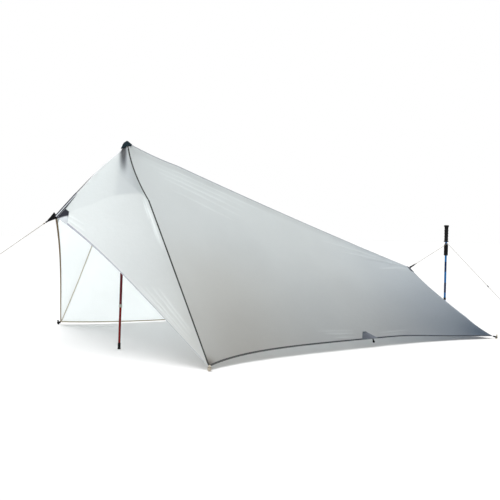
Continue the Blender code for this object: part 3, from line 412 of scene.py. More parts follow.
def strip_uv(grid):
    """Metres along the strip's first direction and across its second, from its middle."""
    steps = np.linalg.norm(np.diff(grid, axis=0), axis=-1)
    along = np.concatenate([np.zeros((1, grid.shape[1])), np.cumsum(steps, axis=0)])
    along = np.broadcast_to(along.mean(axis=1, keepdims=True), along.shape)
    steps = np.linalg.norm(np.diff(grid, axis=1), axis=-1)
    across = np.concatenate([np.zeros((grid.shape[0], 1)), np.cumsum(steps, axis=1)], axis=1)
    return np.stack([along, across - across[:, -1:] / 2], axis=-1)


def linear(code):
    """sRGB hex to linear colour: each channel over 12.92 when dark, else a power of 2.4."""
    channels = np.array([int(code[k:k + 2], 16) for k in (1, 3, 5)]) / 255
    channels = np.where(channels <= 0.04045, channels / 12.92, ((channels + 0.055) / 1.055) ** 2.4)
    return (*channels.tolist(), 1.0)


def fill(tree):
    """Empties a tree of nodes and gives back the function that fills it."""
    tree.nodes.clear()

    def add(kind, inputs=(), out=0, **settings):
        """Adds a node with its settings, its inputs as values or links, and gives back one of its outputs."""
        node = tree.nodes.new("ShaderNode" + kind)
        for key, value in settings.items():
            setattr(node, key, value)
        for key, value in inputs.items() if isinstance(inputs, dict) else enumerate(inputs):
            if isinstance(value, bpy.types.NodeSocket):
                tree.links.new(value, node.inputs[key])
            else:
                node.inputs[key].default_value = value
        return node.outputs[out] if node.outputs else None

    return add


def new_material(name):
    """A material with no nodes in it, and the function that adds them."""
    material = bpy.data.materials.new(name)
    material.use_nodes = True
    return material, fill(material.node_tree)


def end_material(add, colour, height, strength, depth, roughness, **others):
    """Ends a material in one shader, with a bump of the height whose full rise is the depth in metres."""
    bump = add("Bump", {"Strength": strength, "Distance": depth, "Height": height})
    inputs = {"Base Color": colour, "Roughness": roughness, "Normal": bump, **others}
    add("OutputMaterial", (add("BsdfPrincipled", inputs),))


def uv_parts(add):
    """The piece's UV in metres, then its part along and its part across."""
    uv = add("TexCoord", out="UV")
    return uv, add("SeparateXYZ", (uv,), 0), add("SeparateXYZ", (uv,), 1)


def near_line(add, value, pitch, width):
    """1 on a line at each pitch of the value, falling to 0 within the width."""
    off = add("Math", (value, pitch / 2), operation="PINGPONG")
    fall = add("MapRange", (off, width / 2, width))
    return add("Math", (1.0, fall), operation="SUBTRACT")


def dashes(add, value, pitch, share):
    """1 over the given share of each pitch of the value, else 0."""
    turns = add("Math", (add("Math", (value, pitch), operation="DIVIDE"),), operation="FRACT")
    return add("Math", (turns, share), operation="LESS_THAN")


def stitches(add, along, across, row):
    """Two rows of lockstitches, the given distance either side of the middle, 3 mm long with 1 mm between. The thread
    is drawn 0.9 mm wide, twice its size, so that it shows."""
    off = add("Math", (add("Math", (across,), operation="ABSOLUTE"), row), operation="SUBTRACT")
    on_row = add("Math", (add("Math", (off,), operation="ABSOLUTE"), 0.00045), operation="LESS_THAN")
    return add("Math", (on_row, dashes(add, along, 0.004, 0.75)), operation="MULTIPLY")


def cloth_finish(name, light, cool, warm, share):
    """Plain weave with a grid of thicker ripstop threads every 5 mm, half of the light passing through it. The thicker
    threads are drawn 0.7 mm wide, so that they show. Two painted values give a painted shade that deepens its tone, and
    say how warm that deeper tone is."""
    material, add = new_material(name)
    uv, along, across = uv_parts(add)
    thick = add("Math", [near_line(add, part, 0.005, 0.0007) for part in (along, across)], operation="MAXIMUM")
    cloud = add("TexNoise", {"Vector": uv, "Scale": 2.6, "Detail": 3.0, "Roughness": 0.5})
    # Painted shade: two painted values darken the colour towards a cool or a warm deep colour
    shade = add("Attribute", out="Fac", attribute_name="shade")
    warmth = add("Attribute", out="Fac", attribute_name="warmth")
    tone = add("Math", (add("Math", (cloud, 0.10, -0.05), operation="MULTIPLY_ADD"), shade))
    deep = add("Mix", {0: warmth, 6: linear(cool), 7: linear(warm)}, 2, data_type="RGBA")
    ground = add("Mix", {0: tone, 6: linear(light), 7: deep}, 2, data_type="RGBA")
    pale = add("Math", (thick, 0.10), operation="MULTIPLY")
    colour = add("Mix", {0: pale, 6: ground, 7: linear("#ffffff")}, 2, data_type="RGBA")
    weave = add("TexNoise", {"Vector": uv, "Scale": 900.0, "Detail": 2.0})
    pucker = add("TexNoise", {"Vector": uv, "Scale": 26.0, "Detail": 3.0, "Roughness": 0.55})
    height = add("Math", (weave, 0.4, add("Math", (thick, 0.8), operation="MULTIPLY")), operation="MULTIPLY_ADD")
    fine = add("Bump", {"Strength": 0.25, "Distance": 0.0002, "Height": height})
    bump = add("Bump", {"Strength": 0.35, "Distance": 0.0030, "Height": pucker, "Normal": fine})
    face = add("BsdfPrincipled", {"Base Color": colour, "Roughness": 0.42, "IOR": 1.43, "Normal": bump})
    glow = add("BsdfTranslucent", {"Color": colour, "Normal": bump})
    add("OutputMaterial", (add("MixShader", (share, face, glow)),))
    return material


def tape_finish(name, code, thread_code, row, roughness=0.8):
    """Woven tape: ribs across it every 1 mm, a worn and dusty tone, and two rows of stitches. A painted value mixes
    in the thread's colour."""
    material, add = new_material(name)
    uv, along, across = uv_parts(add)
    thread = stitches(add, along, across, row)
    ribs = near_line(add, along, 0.001, 0.0004)
    dust = add("TexNoise", {"Vector": uv, "Scale": 30.0, "Detail": 3.0})
    fade = add("Attribute", out="Fac", attribute_name="fade")
    # Dust plus the painted value; on the rear hem that value leaves the deep blue low down, a painted shade near the
    # ground
    worn = add("Math", (dust, 0.30, fade), operation="MULTIPLY_ADD", use_clamp=True)
    ground = add("Mix", {0: worn, 6: linear(code), 7: linear(thread_code)}, 2, data_type="RGBA")
    colour = add("Mix", {0: thread, 6: ground, 7: linear(thread_code)}, 2, data_type="RGBA")
    height = add("Math", (ribs, 0.4, thread), operation="MULTIPLY_ADD")
    end_material(add, colour, height, 0.5, 0.0003, roughness, **{"Specular IOR Level": 0.2})
    return material


def webbing_finish(name, code, light, thread_code):
    """Flat woven webbing: chevron ribs 1.2 mm apart along it, fuzz, and a bar of stitches over the first 9 mm."""
    material, add = new_material(name)
    uv, along, across = uv_parts(add)
    slant = add("Math", (along, add("Math", (across,), operation="ABSOLUTE")))
    ribs = near_line(add, slant, 0.0012, 0.0005)
    fuzz = add("TexNoise", {"Vector": uv, "Scale": 700.0, "Detail": 2.0})
    bar = add("Math", (along, 0.009), operation="LESS_THAN")
    sewn = add("Math", (near_line(add, along, 0.0024, 0.0008), bar), operation="MULTIPLY")
    pale = add("Math", (ribs, 0.6), operation="MULTIPLY")
    ground = add("Mix", {0: pale, 6: linear(code), 7: linear(light)}, 2, data_type="RGBA")
    colour = add("Mix", {0: sewn, 6: ground, 7: linear(thread_code)}, 2, data_type="RGBA")
    height = add("Math", (fuzz, 0.5, add("Math", (ribs, sewn))), operation="MULTIPLY_ADD")
    end_material(add, colour, height, 0.6, 0.0003, 0.85, **{"Specular IOR Level": 0.2})
    return material


def cord_finish(name, code, shadow):
    """Braid: strands that cross in diamonds, six round the cord, each turn 3 mm long, with painted shade between the
    strands.
    """
    material, add = new_material(name)
    _, along, across = uv_parts(add)
    turns = add("Math", (along, 0.003), operation="DIVIDE")
    round_it = add("Math", (across, 3.0), operation="MULTIPLY")
    one = add("Math", (add("Math", (turns, round_it)), 0.5), operation="PINGPONG")
    two = add("Math", (add("Math", (turns, round_it), operation="SUBTRACT"), 0.5), operation="PINGPONG")
    strands = add("Math", (add("Math", (one, two), operation="MAXIMUM"), 2.0), operation="MULTIPLY")
    colour = add("Mix", {0: strands, 6: linear(shadow), 7: linear(code)}, 2, data_type="RGBA")
    end_material(add, colour, strands, 0.6, 0.0003, 0.75)
    return material


def tube_finish(name, code, dark, bands):
    """Drawn and dyed metal: fine lines along it, a satin surface, and darker bands at the given heights."""
    material, add = new_material(name)
    uv, _, height = uv_parts(add)
    banded = 0.0
    for low, high in bands:
        over = add("Math", (height, low), operation="GREATER_THAN")
        inside = add("Math", (over, add("Math", (height, high), operation="LESS_THAN")), operation="MULTIPLY")
        banded = add("Math", (inside, banded), operation="MAXIMUM")
    stretched = add("Mapping", {0: uv, 3: (600.0, 20.0, 1.0)})
    drawn = add("TexNoise", {"Vector": stretched, "Scale": 2.0, "Detail": 2.0})
    fade = add("Math", (drawn, 0.25, banded), operation="MULTIPLY_ADD", use_clamp=True)
    colour = add("Mix", {0: fade, 6: linear(code), 7: linear(dark)}, 2, data_type="RGBA")
    rough = add("Math", (drawn, 0.16, 0.26), operation="MULTIPLY_ADD")
    end_material(add, colour, drawn, 0.2, 0.0001, rough, Metallic=0.75)
    return material


def moulded_finish(name, code, light, grain, strength, roughness, metallic=0.0):
    """A fine grain of the given size in metres, with paler high spots where it is rubbed."""
    material, add = new_material(name)
    place = add("TexCoord", out="Object")
    spots = add("TexNoise", {"Vector": place, "Scale": 1.0 / grain, "Detail": 3.0})
    wear = add("TexNoise", {"Vector": place, "Scale": 40.0, "Detail": 4.0})
    worn = add("Math", (wear, spots), operation="MULTIPLY")
    colour = add("Mix", {0: worn, 6: linear(code), 7: linear(light)}, 2, data_type="RGBA")
    end_material(add, colour, spots, strength, grain, roughness,
                 **{"Metallic": metallic, "Specular IOR Level": 0.5 if metallic else 0.2})
    return material


# Nylon woven as ripstop and coated with silicone: thin, slightly wet looking, and bright where light is behind it
# Its cool and warm deep colours are the tones of the painted shade
CLOTH = cloth_finish("silicone coated ripstop nylon", "#f5f8f8", "#5d7185", "#7c7161", 0.66)
# Polyester grosgrain, woven with cross ribs, folded over and stitched: matt, ribbed, a little dusty. Deep blue grey on
# the long sides with a tan lining, and a warm brown where it holds a cord against the light
HEM_OUTER = tape_finish("blue grey grosgrain hem", "#14202f", "#66645f", 0.004)
HEM_INNER = tape_finish("tan hem lining", "#b3a88c", "#c9bfa6", 0.004)
CORDED_HEM = tape_finish("tan corded hem", "#6b5a44", "#7d6c53", 0.004)
# The same as binding: nearly black on the hips, pale inside as painted light where light comes through, and pale along
# the beak
SEAM_OUTER = tape_finish("dark grey bound seam", "#2f3130", "#666866", 0.0045)
LIT_SEAM_INNER = tape_finish("pale grey seam lining", "#d3ccbe", "#e2dccf", 0.0045)
BEAK_SEAM = tape_finish("pale bound seam of the beak", "#161719", "#dfe2e3", 0.0045)
# The cloth's own edge, folded and stitched: pale and faintly lilac on the beak, and from pale grey to deep blue down
# the rear edge, the deep blue a painted shade where it nears the ground. Along the ridge it is pressed flat and stays
# pale
FOLD_OUTER = tape_finish("folded hem of the beak", "#9fa0af", "#b9bdc0", 0.004)
REAR_HEM = tape_finish("grey rear hem", "#1c2c40", "#949aa2", 0.004)
RIDGE_OUTER = tape_finish("grey ridge tape", "#a2a6ad", "#c6cad0", 0.0045)
# Coated polyester pack cloth, cut and sewn on: dense and dull, its edges turned under
PATCH = tape_finish("grey reinforcement cloth", "#3e434b", "#80858e", 0.020)
PALE_PATCH = tape_finish("front reinforcement cloth", "#24252f", "#ccd1d6", 0.020)
CAP = tape_finish("dark teal reinforcement cloth", "#071a22", "#1d3138", 0.020, 0.9)
# Nylon webbing, woven in chevrons: matt ribs, black or undyed and pale
WEBBING = webbing_finish("black nylon webbing", "#060607", "#151517", "#26262b")
CORNER_WEBBING = webbing_finish("pale sand nylon webbing", "#a89e8f", "#cbc2b3", "#ddd5c8")
# Braided polyester: pale and dry, with the braid's diamonds of strands
CORD = cord_finish("pale braided polyester cord", "#7a6d4e", "#4c422c")
# Drawn aluminium, anodised and dyed: satin, with fine lines along it, darker in streaks and in bands at given heights
RED_TUBE = tube_finish("red anodised aluminium", "#6e0d09", "#400705", ())
MAROON_TUBE = tube_finish("maroon anodised aluminium", "#5c1c24", "#3a1218", ())
BLUE_TUBE = tube_finish("blue anodised aluminium", "#10639f", "#05234c", ((0.231, 0.317), (0.411, 0.496)))
# Closed cell foam: very matt, with small open pores
FOAM = moulded_finish("closed cell foam", "#060607", "#161618", 0.0012, 0.5, 0.95)
# Moulded rubber: matt, with a fine grain that is paler where it is rubbed
RUBBER = moulded_finish("black moulded rubber", "#080808", "#1a1a1c", 0.0008, 0.3, 0.8)
GRIP = moulded_finish("black moulded grip rubber", "#060607", "#161618", 0.0010, 0.4, 0.7)
# Moulded acetal: hard and slightly glossy
PLASTIC = moulded_finish("black acetal", "#121213", "#28282b", 0.0006, 0.15, 0.4)
PALE_PLASTIC = moulded_finish("pale grey acetal", "#9a9c92", "#babdb4", 0.0006, 0.15, 0.4)
# Extruded aluminium, cut and tumbled: pale and satin with soft edges, or black anodised and duller
STAKE_METAL = moulded_finish("tumbled extruded aluminium", "#c6bfae", "#e2dccb", 0.0005, 0.1, 0.38, 0.8)
DARK_METAL = moulded_finish("black anodised extruded aluminium", "#0b0b0c", "#232427", 0.0005, 0.1, 0.5, 0.4)


def folded(side, surface, first, second, folds):
    """A panel's grid with each fold's height added along its normals, and the height itself."""
    grid = surface(side, first, second)
    relief = np.zeros(grid.shape[:2])
    for start, end, width, height in folds:
        ends = [surface(side, *(np.array(share) for share in place)) for place in (start, end)]
        relief += crease(grid, *ends, width, height)
    return grid + normals_of(grid) * relief[..., None], relief


def main_paints(side, grid, along, down, relief):
    """Painted shade, and how warm it is. The painted level of light falls with the share down and its square, dips
    under the ridge and in bells round the two corners, falls towards the rear with a power of the share along, most
    near the ground, and rises with a fold's height as a painted highlight. The painted shade is warmest low down in
    front. The far side takes little of it outside, least in front, and none inside."""
    # Painted shade: the level of light that the colour is darkened to, with a painted highlight along each fold
    level = 0.865 - (0.07 + 0.05 * smooth(along, 0, 0.2)) * down - 0.17 * down ** 2 + 30 * relief
    level = level - 0.025 * (1 - smooth(down, 0.05, 0.4)) - 0.06 * (1 - smooth(down, 0.02, 0.07))
    level = level * (1 - 0.8 * bell(span(grid, front_corner(side)), 0, 0.050))
    level = level * (1 - 0.4 * bell(span(grid, rear_corner(side)), 0, 0.16))
    # Painted shade, deepest towards the rear near the ground
    rear = 0.50 * np.clip((along - 0.3) / 0.7, 0, 1) ** 2.5 * (0.33 + 0.90 * down ** 1.3)
    share = 1.0 if side == NEAR else np.stack([0.06 + 0.40 * smooth(along, 0.15, 0.55), 0 * along])
    # Warmth of the painted shade: warm low down in front, cool towards the rear
    warmth = 0.53 + 0.4 * smooth(down, 0.3, 0.7) * (1 - smooth(along, 0.1, 0.45)) - 0.50 * smooth(along, 0.5, 0.97)
    return {"shade": (1 - level * (1 - rear)) / DEEPEST * share, "warmth": warmth}


def beak_paints(side, grid, across, down, relief):
    """The same painted shade for the beak. A painted shadow of the pole's grip behind it is a dark patch below the
    peak, slanted as the pole is and fading downwards. Above a hyperbola of the share across, a painted shadow makes the
    cloth a little deeper in tone, most so by the hip near the peak. Painted highlights rise with a fold's height. The
    far side takes two parts in five of it outside and less inside."""
    sideways = (grid - PEAK) @ unit([0.82, 0.57 * side, 0.0])
    cut = 1.06 - 0.04 * across - 0.9 * across / (across + 0.19) + 0.03 * bell(across, 0.12, 0.07)
    behind = smooth(sideways, -0.058, -0.008) * (1 - 0.5 * smooth(down, 0.12, 0.34))
    # Painted shadow above the arc, deepest beside the grip's painted shadow
    arc_shadow = smooth(cut - down, -0.012, 0.012)
    arc_shadow = arc_shadow * (0.04 + 0.13 * behind * (1 - 0.3 * smooth(across, 0.5, 0.9)))
    depth = PEAK_HEIGHT - grid[..., 2]
    # Painted shadow of the pole's grip, seen through the cloth
    slant = sideways - 0.14 * depth
    grip = smooth(slant, -0.060, -0.024) * (1 - smooth(slant, -0.022, 0.006))
    grip = 0.97 * grip * (1 - smooth(depth, 0.06, 0.23))
    # Painted level of light, with painted highlights on the folds
    level = (0.955 - 0.06 * across - 0.18 * across * down - arc_shadow + 40 * relief) * (1 - grip)
    level = level * (1 - 0.45 * bell(span(grid, front_corner(side)), 0, 0.030))
    share = 1.0 if side == NEAR else np.array([0.40, 0.15])[:, None, None]
    return {"shade": (1 - level) / DEEPEST * share,
            "warmth": 0.55 - 2.2 * arc_shadow * (1 - grip) + 0.3 * smooth(across * down, 0.4, 0.9)}


def make_panels(kind, panel, shares, folds, paints, seam_end):
    """The near and the far panel of a kind, on a grid of shares along a seam from the peak and away from it. Its UV
    runs along that seam and down the hip."""
    pieces = {}
    for side in (NEAR, FAR):
        first, second = np.meshgrid(*[np.linspace(*ends) for ends in shares], indexing="ij")
        grid, relief = folded(side, panel, first, second, folds)
        uv = metric_uv(grid, PEAK, seam_end - PEAK, front_corner(side) - PEAK)
        name = SIDES[side] + "_" + kind
        pieces[side] = closed_sheet("cloth_" + name, grid, CLOTH_THICKNESS, [CLOTH], "cloth", [name + "_panel"], uv,
                                    paints=paints(side, grid, first, second, relief))
    return pieces


def band(columns):
    """Shares across a tape, and how thick it is there: a rounded edge on both sides."""
    across = np.linspace(-1, 1, columns)
    return across, np.sqrt(1 - 0.96 * across ** 6)


def ridge_strip(across, along, reach):
    """Points of both main panels along the ridge, each a share of the reach down from it."""
    return np.stack([main_panel(side, along, abs(value) * reach / main_drop(side, along))
                     for value in across for side in [NEAR if value < 0 else FAR]], axis=1)


def beak_strip(across, down, reach):
    """Points of both beak panels along the beak's ridge, each a share of the reach aside from it."""
    return np.stack([beak_panel(side, abs(value) * reach / beak_width(side, down), down)
                     for value in across for side in [NEAR if value < 0 else FAR]], axis=1)


def hip_strip(side, across, down, reach):
    """Points of a side's beak panel and main panel along the hip, each a share of the reach to its side of it."""
    return np.stack([beak_panel(side, 1 + value * reach / beak_width(side, down), down) if value < 0
                     else main_panel(side, value * reach / main_width(side, down), down) for value in across], axis=1)


def make_seams(trims):
    """Tapes over the ridge, the beak's ridge and the hips: strips of the two panels that meet there, with a rib down
    the middle. The beak's tape has a dark middle that starts half way down and widens towards the point."""
    across, body = band(13)
    rib = body + 0.35 * bell(across, 0, 0.3)

    def seam(name, grid, outside, node, fade=0.0):
        """A tape of the strip, thickest along the rib."""
        return closed_sheet(name, grid, TAPE_THICKNESS * rib[None, :], [outside, LIT_SEAM_INNER], "tape", [node],
                            strip_uv(grid), lift=0.2 * TAPE_THICKNESS, paints={"fade": fade})

    trims["main", NEAR].append(seam("tape_ridge", ridge_strip(across, np.linspace(0.007, 1, 260), SEAM_HALF_WIDTH),
                                    RIDGE_OUTER, "ridge_seam"))
    down = np.linspace(0.03, 1, 150)
    dark_half_width = 0.25 + 0.65 * smooth(down, 0.45, 0.80)
    dark = smooth(down, 0.40, 0.55)[:, None] * (1 - smooth(np.abs(across)[None] - dark_half_width[:, None], -0.1, 0.1))
    trims["beak", NEAR].append(seam("tape_beak_ridge", beak_strip(across, down, SEAM_HALF_WIDTH), BEAK_SEAM,
                                    "beak_ridge_seam", 1 - 1.2 * dark))
    for side in (NEAR, FAR):
        grid = hip_strip(side, across, np.linspace(0.011, 1, 220), SEAM_HALF_WIDTH)
        trims["main", side].append(seam("tape_" + SIDES[side] + "_hip", grid, SEAM_OUTER, SIDES[side] + "_hip_seam"))


def make_hems(trims):
    """Folded hems: the last 12 mm of each panel along its free edges, thicker than the cloth, with rounded sides. The
    far beak hem has a cord in it. Each fades to its thread's colour by a line of the share along it, and the rear hem
    by a smooth step down it, so that it stays deep blue low down, a painted shade near the ground."""
    across, body = band(9)
    inset = HEM_WIDTH * (1 - across) / 2
    along, down, share = [np.linspace(*ends)[:, None]
                          for ends in ((0.003, 1, 320), (0.004, 0.99, 150), (0.002, 0.998, 180))]
    for side in (NEAR, FAR):
        beak_thickness, beak_finishes = (TAPE_THICKNESS, [FOLD_OUTER]) if side == NEAR else (FAR_BEAK_HEM, [CORDED_HEM])
        for panel, edge, grid, thickness, finishes, fade in (
                ("main", "side", main_panel(side, along + 0 * inset, 1 - inset / main_drop(side, along)),
                 TAPE_THICKNESS, [HEM_OUTER, HEM_INNER], 0.40 - 0.60 * along),
                # Painted shade: the rear hem keeps its deep blue only low down, near the ground
                ("main", "rear", main_panel(side, 1 - inset / main_width(side, down), down + 0 * inset),
                 TAPE_THICKNESS, [REAR_HEM, LIT_SEAM_INNER], 1.1 * (1 - smooth(down, 0.60, 0.95))),
                ("beak", "beak", beak_panel(side, share + 0 * inset, 1 - inset / beak_drop(side, share)),
                 beak_thickness, beak_finishes, 1.2 * share)):
            trims[panel, side].append(closed_sheet(
                "hem_" + SIDES[side] + "_" + edge, grid, thickness * body[None, :], finishes, "tape",
                [SIDES[side] + "_" + edge + "_hem"], strip_uv(grid), paints={"fade": fade}))


def make_patches(trims):
    """Pieces of heavier cloth sewn on: over the beak's point with a tail up its ridge, at the ridge's rear end, and
    over each side loop, sloped in front and behind. The front one's half width runs in straight lines between four
    heights, with a ripple near the hem, and it pales in a fan beside the point and in a stripe along its ridge."""
    lift = TAPE_THICKNESS / 2 + GAP + PATCH_THICKNESS

    def patch(name, grid, finish, node, fade, lift=lift):
        """A sheet of the strip, lifted clear of the tapes."""
        return closed_sheet(name, grid, PATCH_THICKNESS, [finish], "patch_cloth", [node], strip_uv(grid), lift,
                            {"fade": fade})

    step, top = FRONT_PATCH_LENGTH + 1e-4, FRONT_PATCH_LENGTH + FRONT_TAIL_LENGTH
    height = np.concatenate([np.linspace(top, step, 70), np.linspace(FRONT_PATCH_LENGTH, 0, 60)])
    reach = np.interp(height, [0, FRONT_PATCH_LENGTH, step, top],
                      [FRONT_PATCH_HEM_REACH, FRONT_PATCH_TOP_REACH, FRONT_TAIL_ROOT_REACH, FRONT_TAIL_TIP_REACH])
    across = np.linspace(-1, 1, 141)
    ripple = 0.0006 * np.sin(np.abs(across)[None] * 5 * math.tau) * smooth(height, 0.075, 0.0)[:, None]
    off = np.abs(across)[None] * reach[:, None]
    fan = smooth(off + 0.75 * (0.03 - height[:, None]), 0.046, 0.062) * smooth(height, 0.055, 0.035)[:, None]
    stripe = smooth(off, 0.0062, 0.0076) * (1 - smooth(off, 0.0112, 0.0126))
    trims["beak", NEAR].append(patch("patch_front", beak_strip(across, 1 - height / span(PEAK, BEAK_POINT), reach),
                                     PALE_PATCH, "front_patch", 1.2 * np.maximum(0.85 * fan, stripe) - 0.2,
                                     lift + ripple))
    along = np.linspace(1 - REAR_PATCH_LENGTH / span(PEAK, RIDGE_END), 1, 20)
    trims["main", NEAR].append(patch("patch_rear", ridge_strip(across, along, REAR_PATCH_HALF_WIDTH), PATCH,
                                     "rear_patch", 0.0))
    up, sideways = np.meshgrid(np.linspace(0, 1, 24), np.linspace(0, 1, 31), indexing="ij")
    reach = SIDE_PATCH_LEAN * up + SIDE_PATCH_WIDTH * sideways * (1 - 0.8 * up)
    fade = 0.35 * smooth(sideways, 0.3, 1.0) - 0.25 * smooth(up, 0.7, 1.0)
    for side in (NEAR, FAR):
        along = SIDE_PATCH_START + reach / main_width(side, 1.0)
        grid = main_panel(side, along, 1 - up * SIDE_PATCH_HEIGHT / main_drop(side, along))
        trims["main", side].append(patch("patch_" + SIDES[side] + "_side", grid, PATCH, SIDES[side] + "_side_patch",
                                         fade))


def make_peak_cap(trims):
    """Rings round the peak: each point is the peak plus the radius times a direction turned from one crease of the
    cloth to the next, settled as the cloth is, and off it along the normal of its panel, blended over the creases and
    towards upright at the peak."""
    def tangent(curve):
        """Direction from the peak to a fiftieth of the way down a curve."""
        return unit(curve(np.array(0.02)) - PEAK)

    creases = np.array([tangent(ridge), tangent(lambda s: hip(NEAR, s)), tangent(beak_ridge),
                        tangent(lambda s: hip(FAR, s))])
    reaches = np.array(CAP_REACHES) * CAP_RADIUS
    turn = np.arange(4 * CAP_STEPS)
    this, following, part = turn // CAP_STEPS, (turn // CAP_STEPS + 1) % 4, (turn % CAP_STEPS) / CAP_STEPS
    flat = unit(np.cross(creases[this], creases[following]))
    flat = flat * np.sign(flat @ (PEAK - TENT_MIDDLE))[:, None]
    normals = unit(flat + sum(np.roll(flat, shift, axis=0) * 0.6 for shift in (-2, -1, 1, 2)))
    lean = np.linspace(0.04, 1, 20)[:, None]
    reach = reaches[this] * (1 - part) + reaches[following] * part
    ring = unit(mix(creases[this], creases[following], part)) * (reach * lean)[..., None]
    off = unit(normals * lean[..., None] + UP * (1 - lean)[..., None])
    under = settle(PEAK + ring) + off * (TAPE_THICKNESS + 2 * GAP)
    index = np.arange(ring[..., 0].size).reshape(ring.shape[:2])
    total, after = index.size, np.roll(index, -1, axis=1)
    quads = np.stack([index[:-1], index[1:], after[1:], after[:-1]], axis=-1).reshape(-1, 4)
    wall = np.stack([index[-1], index[-1] + total, after[-1] + total, after[-1]], axis=-1)
    inner = np.stack([index[0], after[0], after[0] + total, index[0] + total], axis=-1)
    plan = ring @ np.stack([creases[0], unit(np.cross(UP, creases[0]))], axis=1)
    mesh = put_mesh("cap_peak", np.stack([under + off * CAP_THICKNESS, under]),
                    np.concatenate([quads, quads[:, ::-1] + total, wall, inner]), np.stack([plan, plan]),
                    {"fade": np.zeros(2 * total)})
    outward(mesh)
    mesh.shade_smooth()
    trims["main", NEAR].append(place_piece("cap_peak", mesh, [CAP], "cap_cloth", "tarp", ["peak_cap"]))


def make_cloth():
    """The four panels with their seams, hems and patches, and the cap over the peak."""
    trims = {(kind, side): [] for kind in ("main", "beak") for side in (NEAR, FAR)}
    mains = make_panels("main", main_panel, MAIN_SHARES, MAIN_FOLDS, main_paints, RIDGE_END)
    beaks = make_panels("beak", beak_panel, BEAK_SHARES, BEAK_FOLDS, beak_paints, BEAK_POINT)
    make_seams(trims)
    make_hems(trims)
    make_patches(trims)
    make_peak_cap(trims)


def sweep(path, side, upward, outline):
    """Outline carried along a path: each point is the path's, plus a part along its side direction and a part along
    its upward one. The ends close to their middles. The distance along the path comes back too."""
    grid = path[:, None] + outline[..., :1] * side[:, None] + outline[..., 1:] * upward
    ends = [np.broadcast_to(path[k], (1, *grid.shape[1:])) for k in (0, -1)]
    lengths = np.concatenate([[0], np.cumsum(span(path[1:], path[:-1]))])
    return np.concatenate([ends[0], grid, ends[1]]), np.concatenate([[0], lengths, lengths[-1:]])


def swept_band(path, axis, half_thickness, half_width, count=20):
    """Superellipse of half_thickness by half_width, carried along a path in the plane square to the axis."""
    turns = np.linspace(0, math.tau, count + 1)
    out = np.sign(np.cos(turns)) * np.abs(np.cos(turns)) ** 0.6 * half_thickness
    high = np.sign(np.sin(turns)) * np.abs(np.sin(turns)) ** 0.3
    lifts = high[None] * np.broadcast_to(half_width, (len(path),))[:, None]
    outline = np.stack(np.broadcast_arrays(out[None], lifts), axis=-1)
    grid, lengths = sweep(path, unit(np.cross(np.gradient(path, axis=0), axis)), axis, outline)
    lifts = np.concatenate([0 * lifts[:1], lifts, 0 * lifts[:1]])
    uv = np.stack([np.broadcast_to(np.minimum(lengths, lengths[-1] - lengths)[:, None], lifts.shape), lifts], axis=-1)
    return grid, uv


def band_piece(name, grid, uv, material, nodes):
    """A swept band closed and placed as webbing on the tarp."""
    return place_piece(name, closed_mesh(name, grid, uv, 60), [material], "webbing", "tarp", nodes)


def make_loop(node, origin, forward, axis, radius, width, material):
    """Band of webbing: out from its neck at -X, round a circle and back, in the plane square to the axis."""
    forward, axis = unit(forward), unit(axis)
    aside = np.cross(axis, forward)
    middle = radius + WEBBING_THICKNESS / 2
    tail = radius + WEBBING_THICKNESS + LOOP_NECK
    turn = math.pi - math.acos(middle / tail)
    angles = np.linspace(-turn, turn, 49)
    arc = middle * np.stack([np.cos(angles), np.sin(angles)], axis=-1)
    half = WEBBING_THICKNESS / 2 + LOOP_SLIT
    legs = np.array([[-tail, -half], [-tail, half]])
    sewn = np.array([[-tail + LOOP_SEWN, -half], [-tail + LOOP_SEWN, half]])
    flat = np.concatenate([mix(legs[0], sewn[0], np.arange(5) / 5), mix(sewn[0], arc[0], np.arange(6) / 6), arc,
                           mix(arc[-1], sewn[1], np.arange(1, 7) / 6), mix(sewn[1], legs[1], np.arange(1, 6) / 5)])
    path = np.asarray(origin) + flat[:, :1] * forward + flat[:, 1:] * aside
    grid, uv = swept_band(path, axis, WEBBING_THICKNESS / 2, width / 2)
    band_piece("webbing_" + node, grid, uv, material, [node])


def leaning(outward):
    """A stake's axis, which leans outwards, and the direction square to it that points outwards."""
    lean, rise = math.sin(STAKE_LEAN), math.cos(STAKE_LEAN)
    return UP * rise + outward * lean, outward * rise - UP * lean


def make_loops():
    """A loop at each corner, square to the stake that leans out through it, and one that hangs under each side."""
    hole = STAKE_RADIUS + 3 * SEAT_GAP
    for side in (NEAR, FAR):
        def centre(place):
            """The place with its middle part turned to this side of the tarp's middle."""
            return np.array(place) * (1, side, 1) + (0, CENTRE, 0)

        for kind, place, bearing, width, finish in (
                ("_corner_loop", CORNER_LOOP, FRONT_BEARING, CORNER_WEBBING_WIDTH,
                 CORNER_WEBBING if side == NEAR else WEBBING),
                ("_rear_loop", REAR_LOOP, REAR_BEARING, WEBBING_WIDTH, WEBBING)):
            axis, forward = leaning(np.array([math.cos(bearing), side * math.sin(bearing), 0.0]))
            make_loop(SIDES[side] + kind, centre(place), forward, axis, hole, width, finish)
        make_loop(SIDES[side] + "_side_loop", centre(SIDE_LOOP[side]), (0, 0.45 * side, -1), BACK, SIDE_LOOP_RADIUS,
                  WEBBING_WIDTH, WEBBING)


def line_start(point, towards, seat):
    """Along the line from the cloth's point towards what holds it: the direction, and where the tab's root, the line
    lock and the cord start, each seated against the last. The cord's start is rounded to 0.01 mm."""
    direction = unit(towards - point)
    tab = point + seat * direction
    lock = tab + (TAB_REACH + SEAT_GAP) * direction
    cord = lock + (LOCK_LENGTH - LOCK_BORE_DEPTH + SEAT_GAP) * direction
    return direction, tab, lock, np.round(cord, 5)


def line_starts():
    """Where both guylines start: towards the front stake, and towards the rear pole's turns."""
    return {"front": line_start(BEAK_POINT, FRONT_STAKE + STAKE_ABOVE_GROUND / 2 * UP, FRONT_TAB_SEAT),
            "rear": line_start(RIDGE_END, hitch()[0], REAR_TAB_SEAT)}


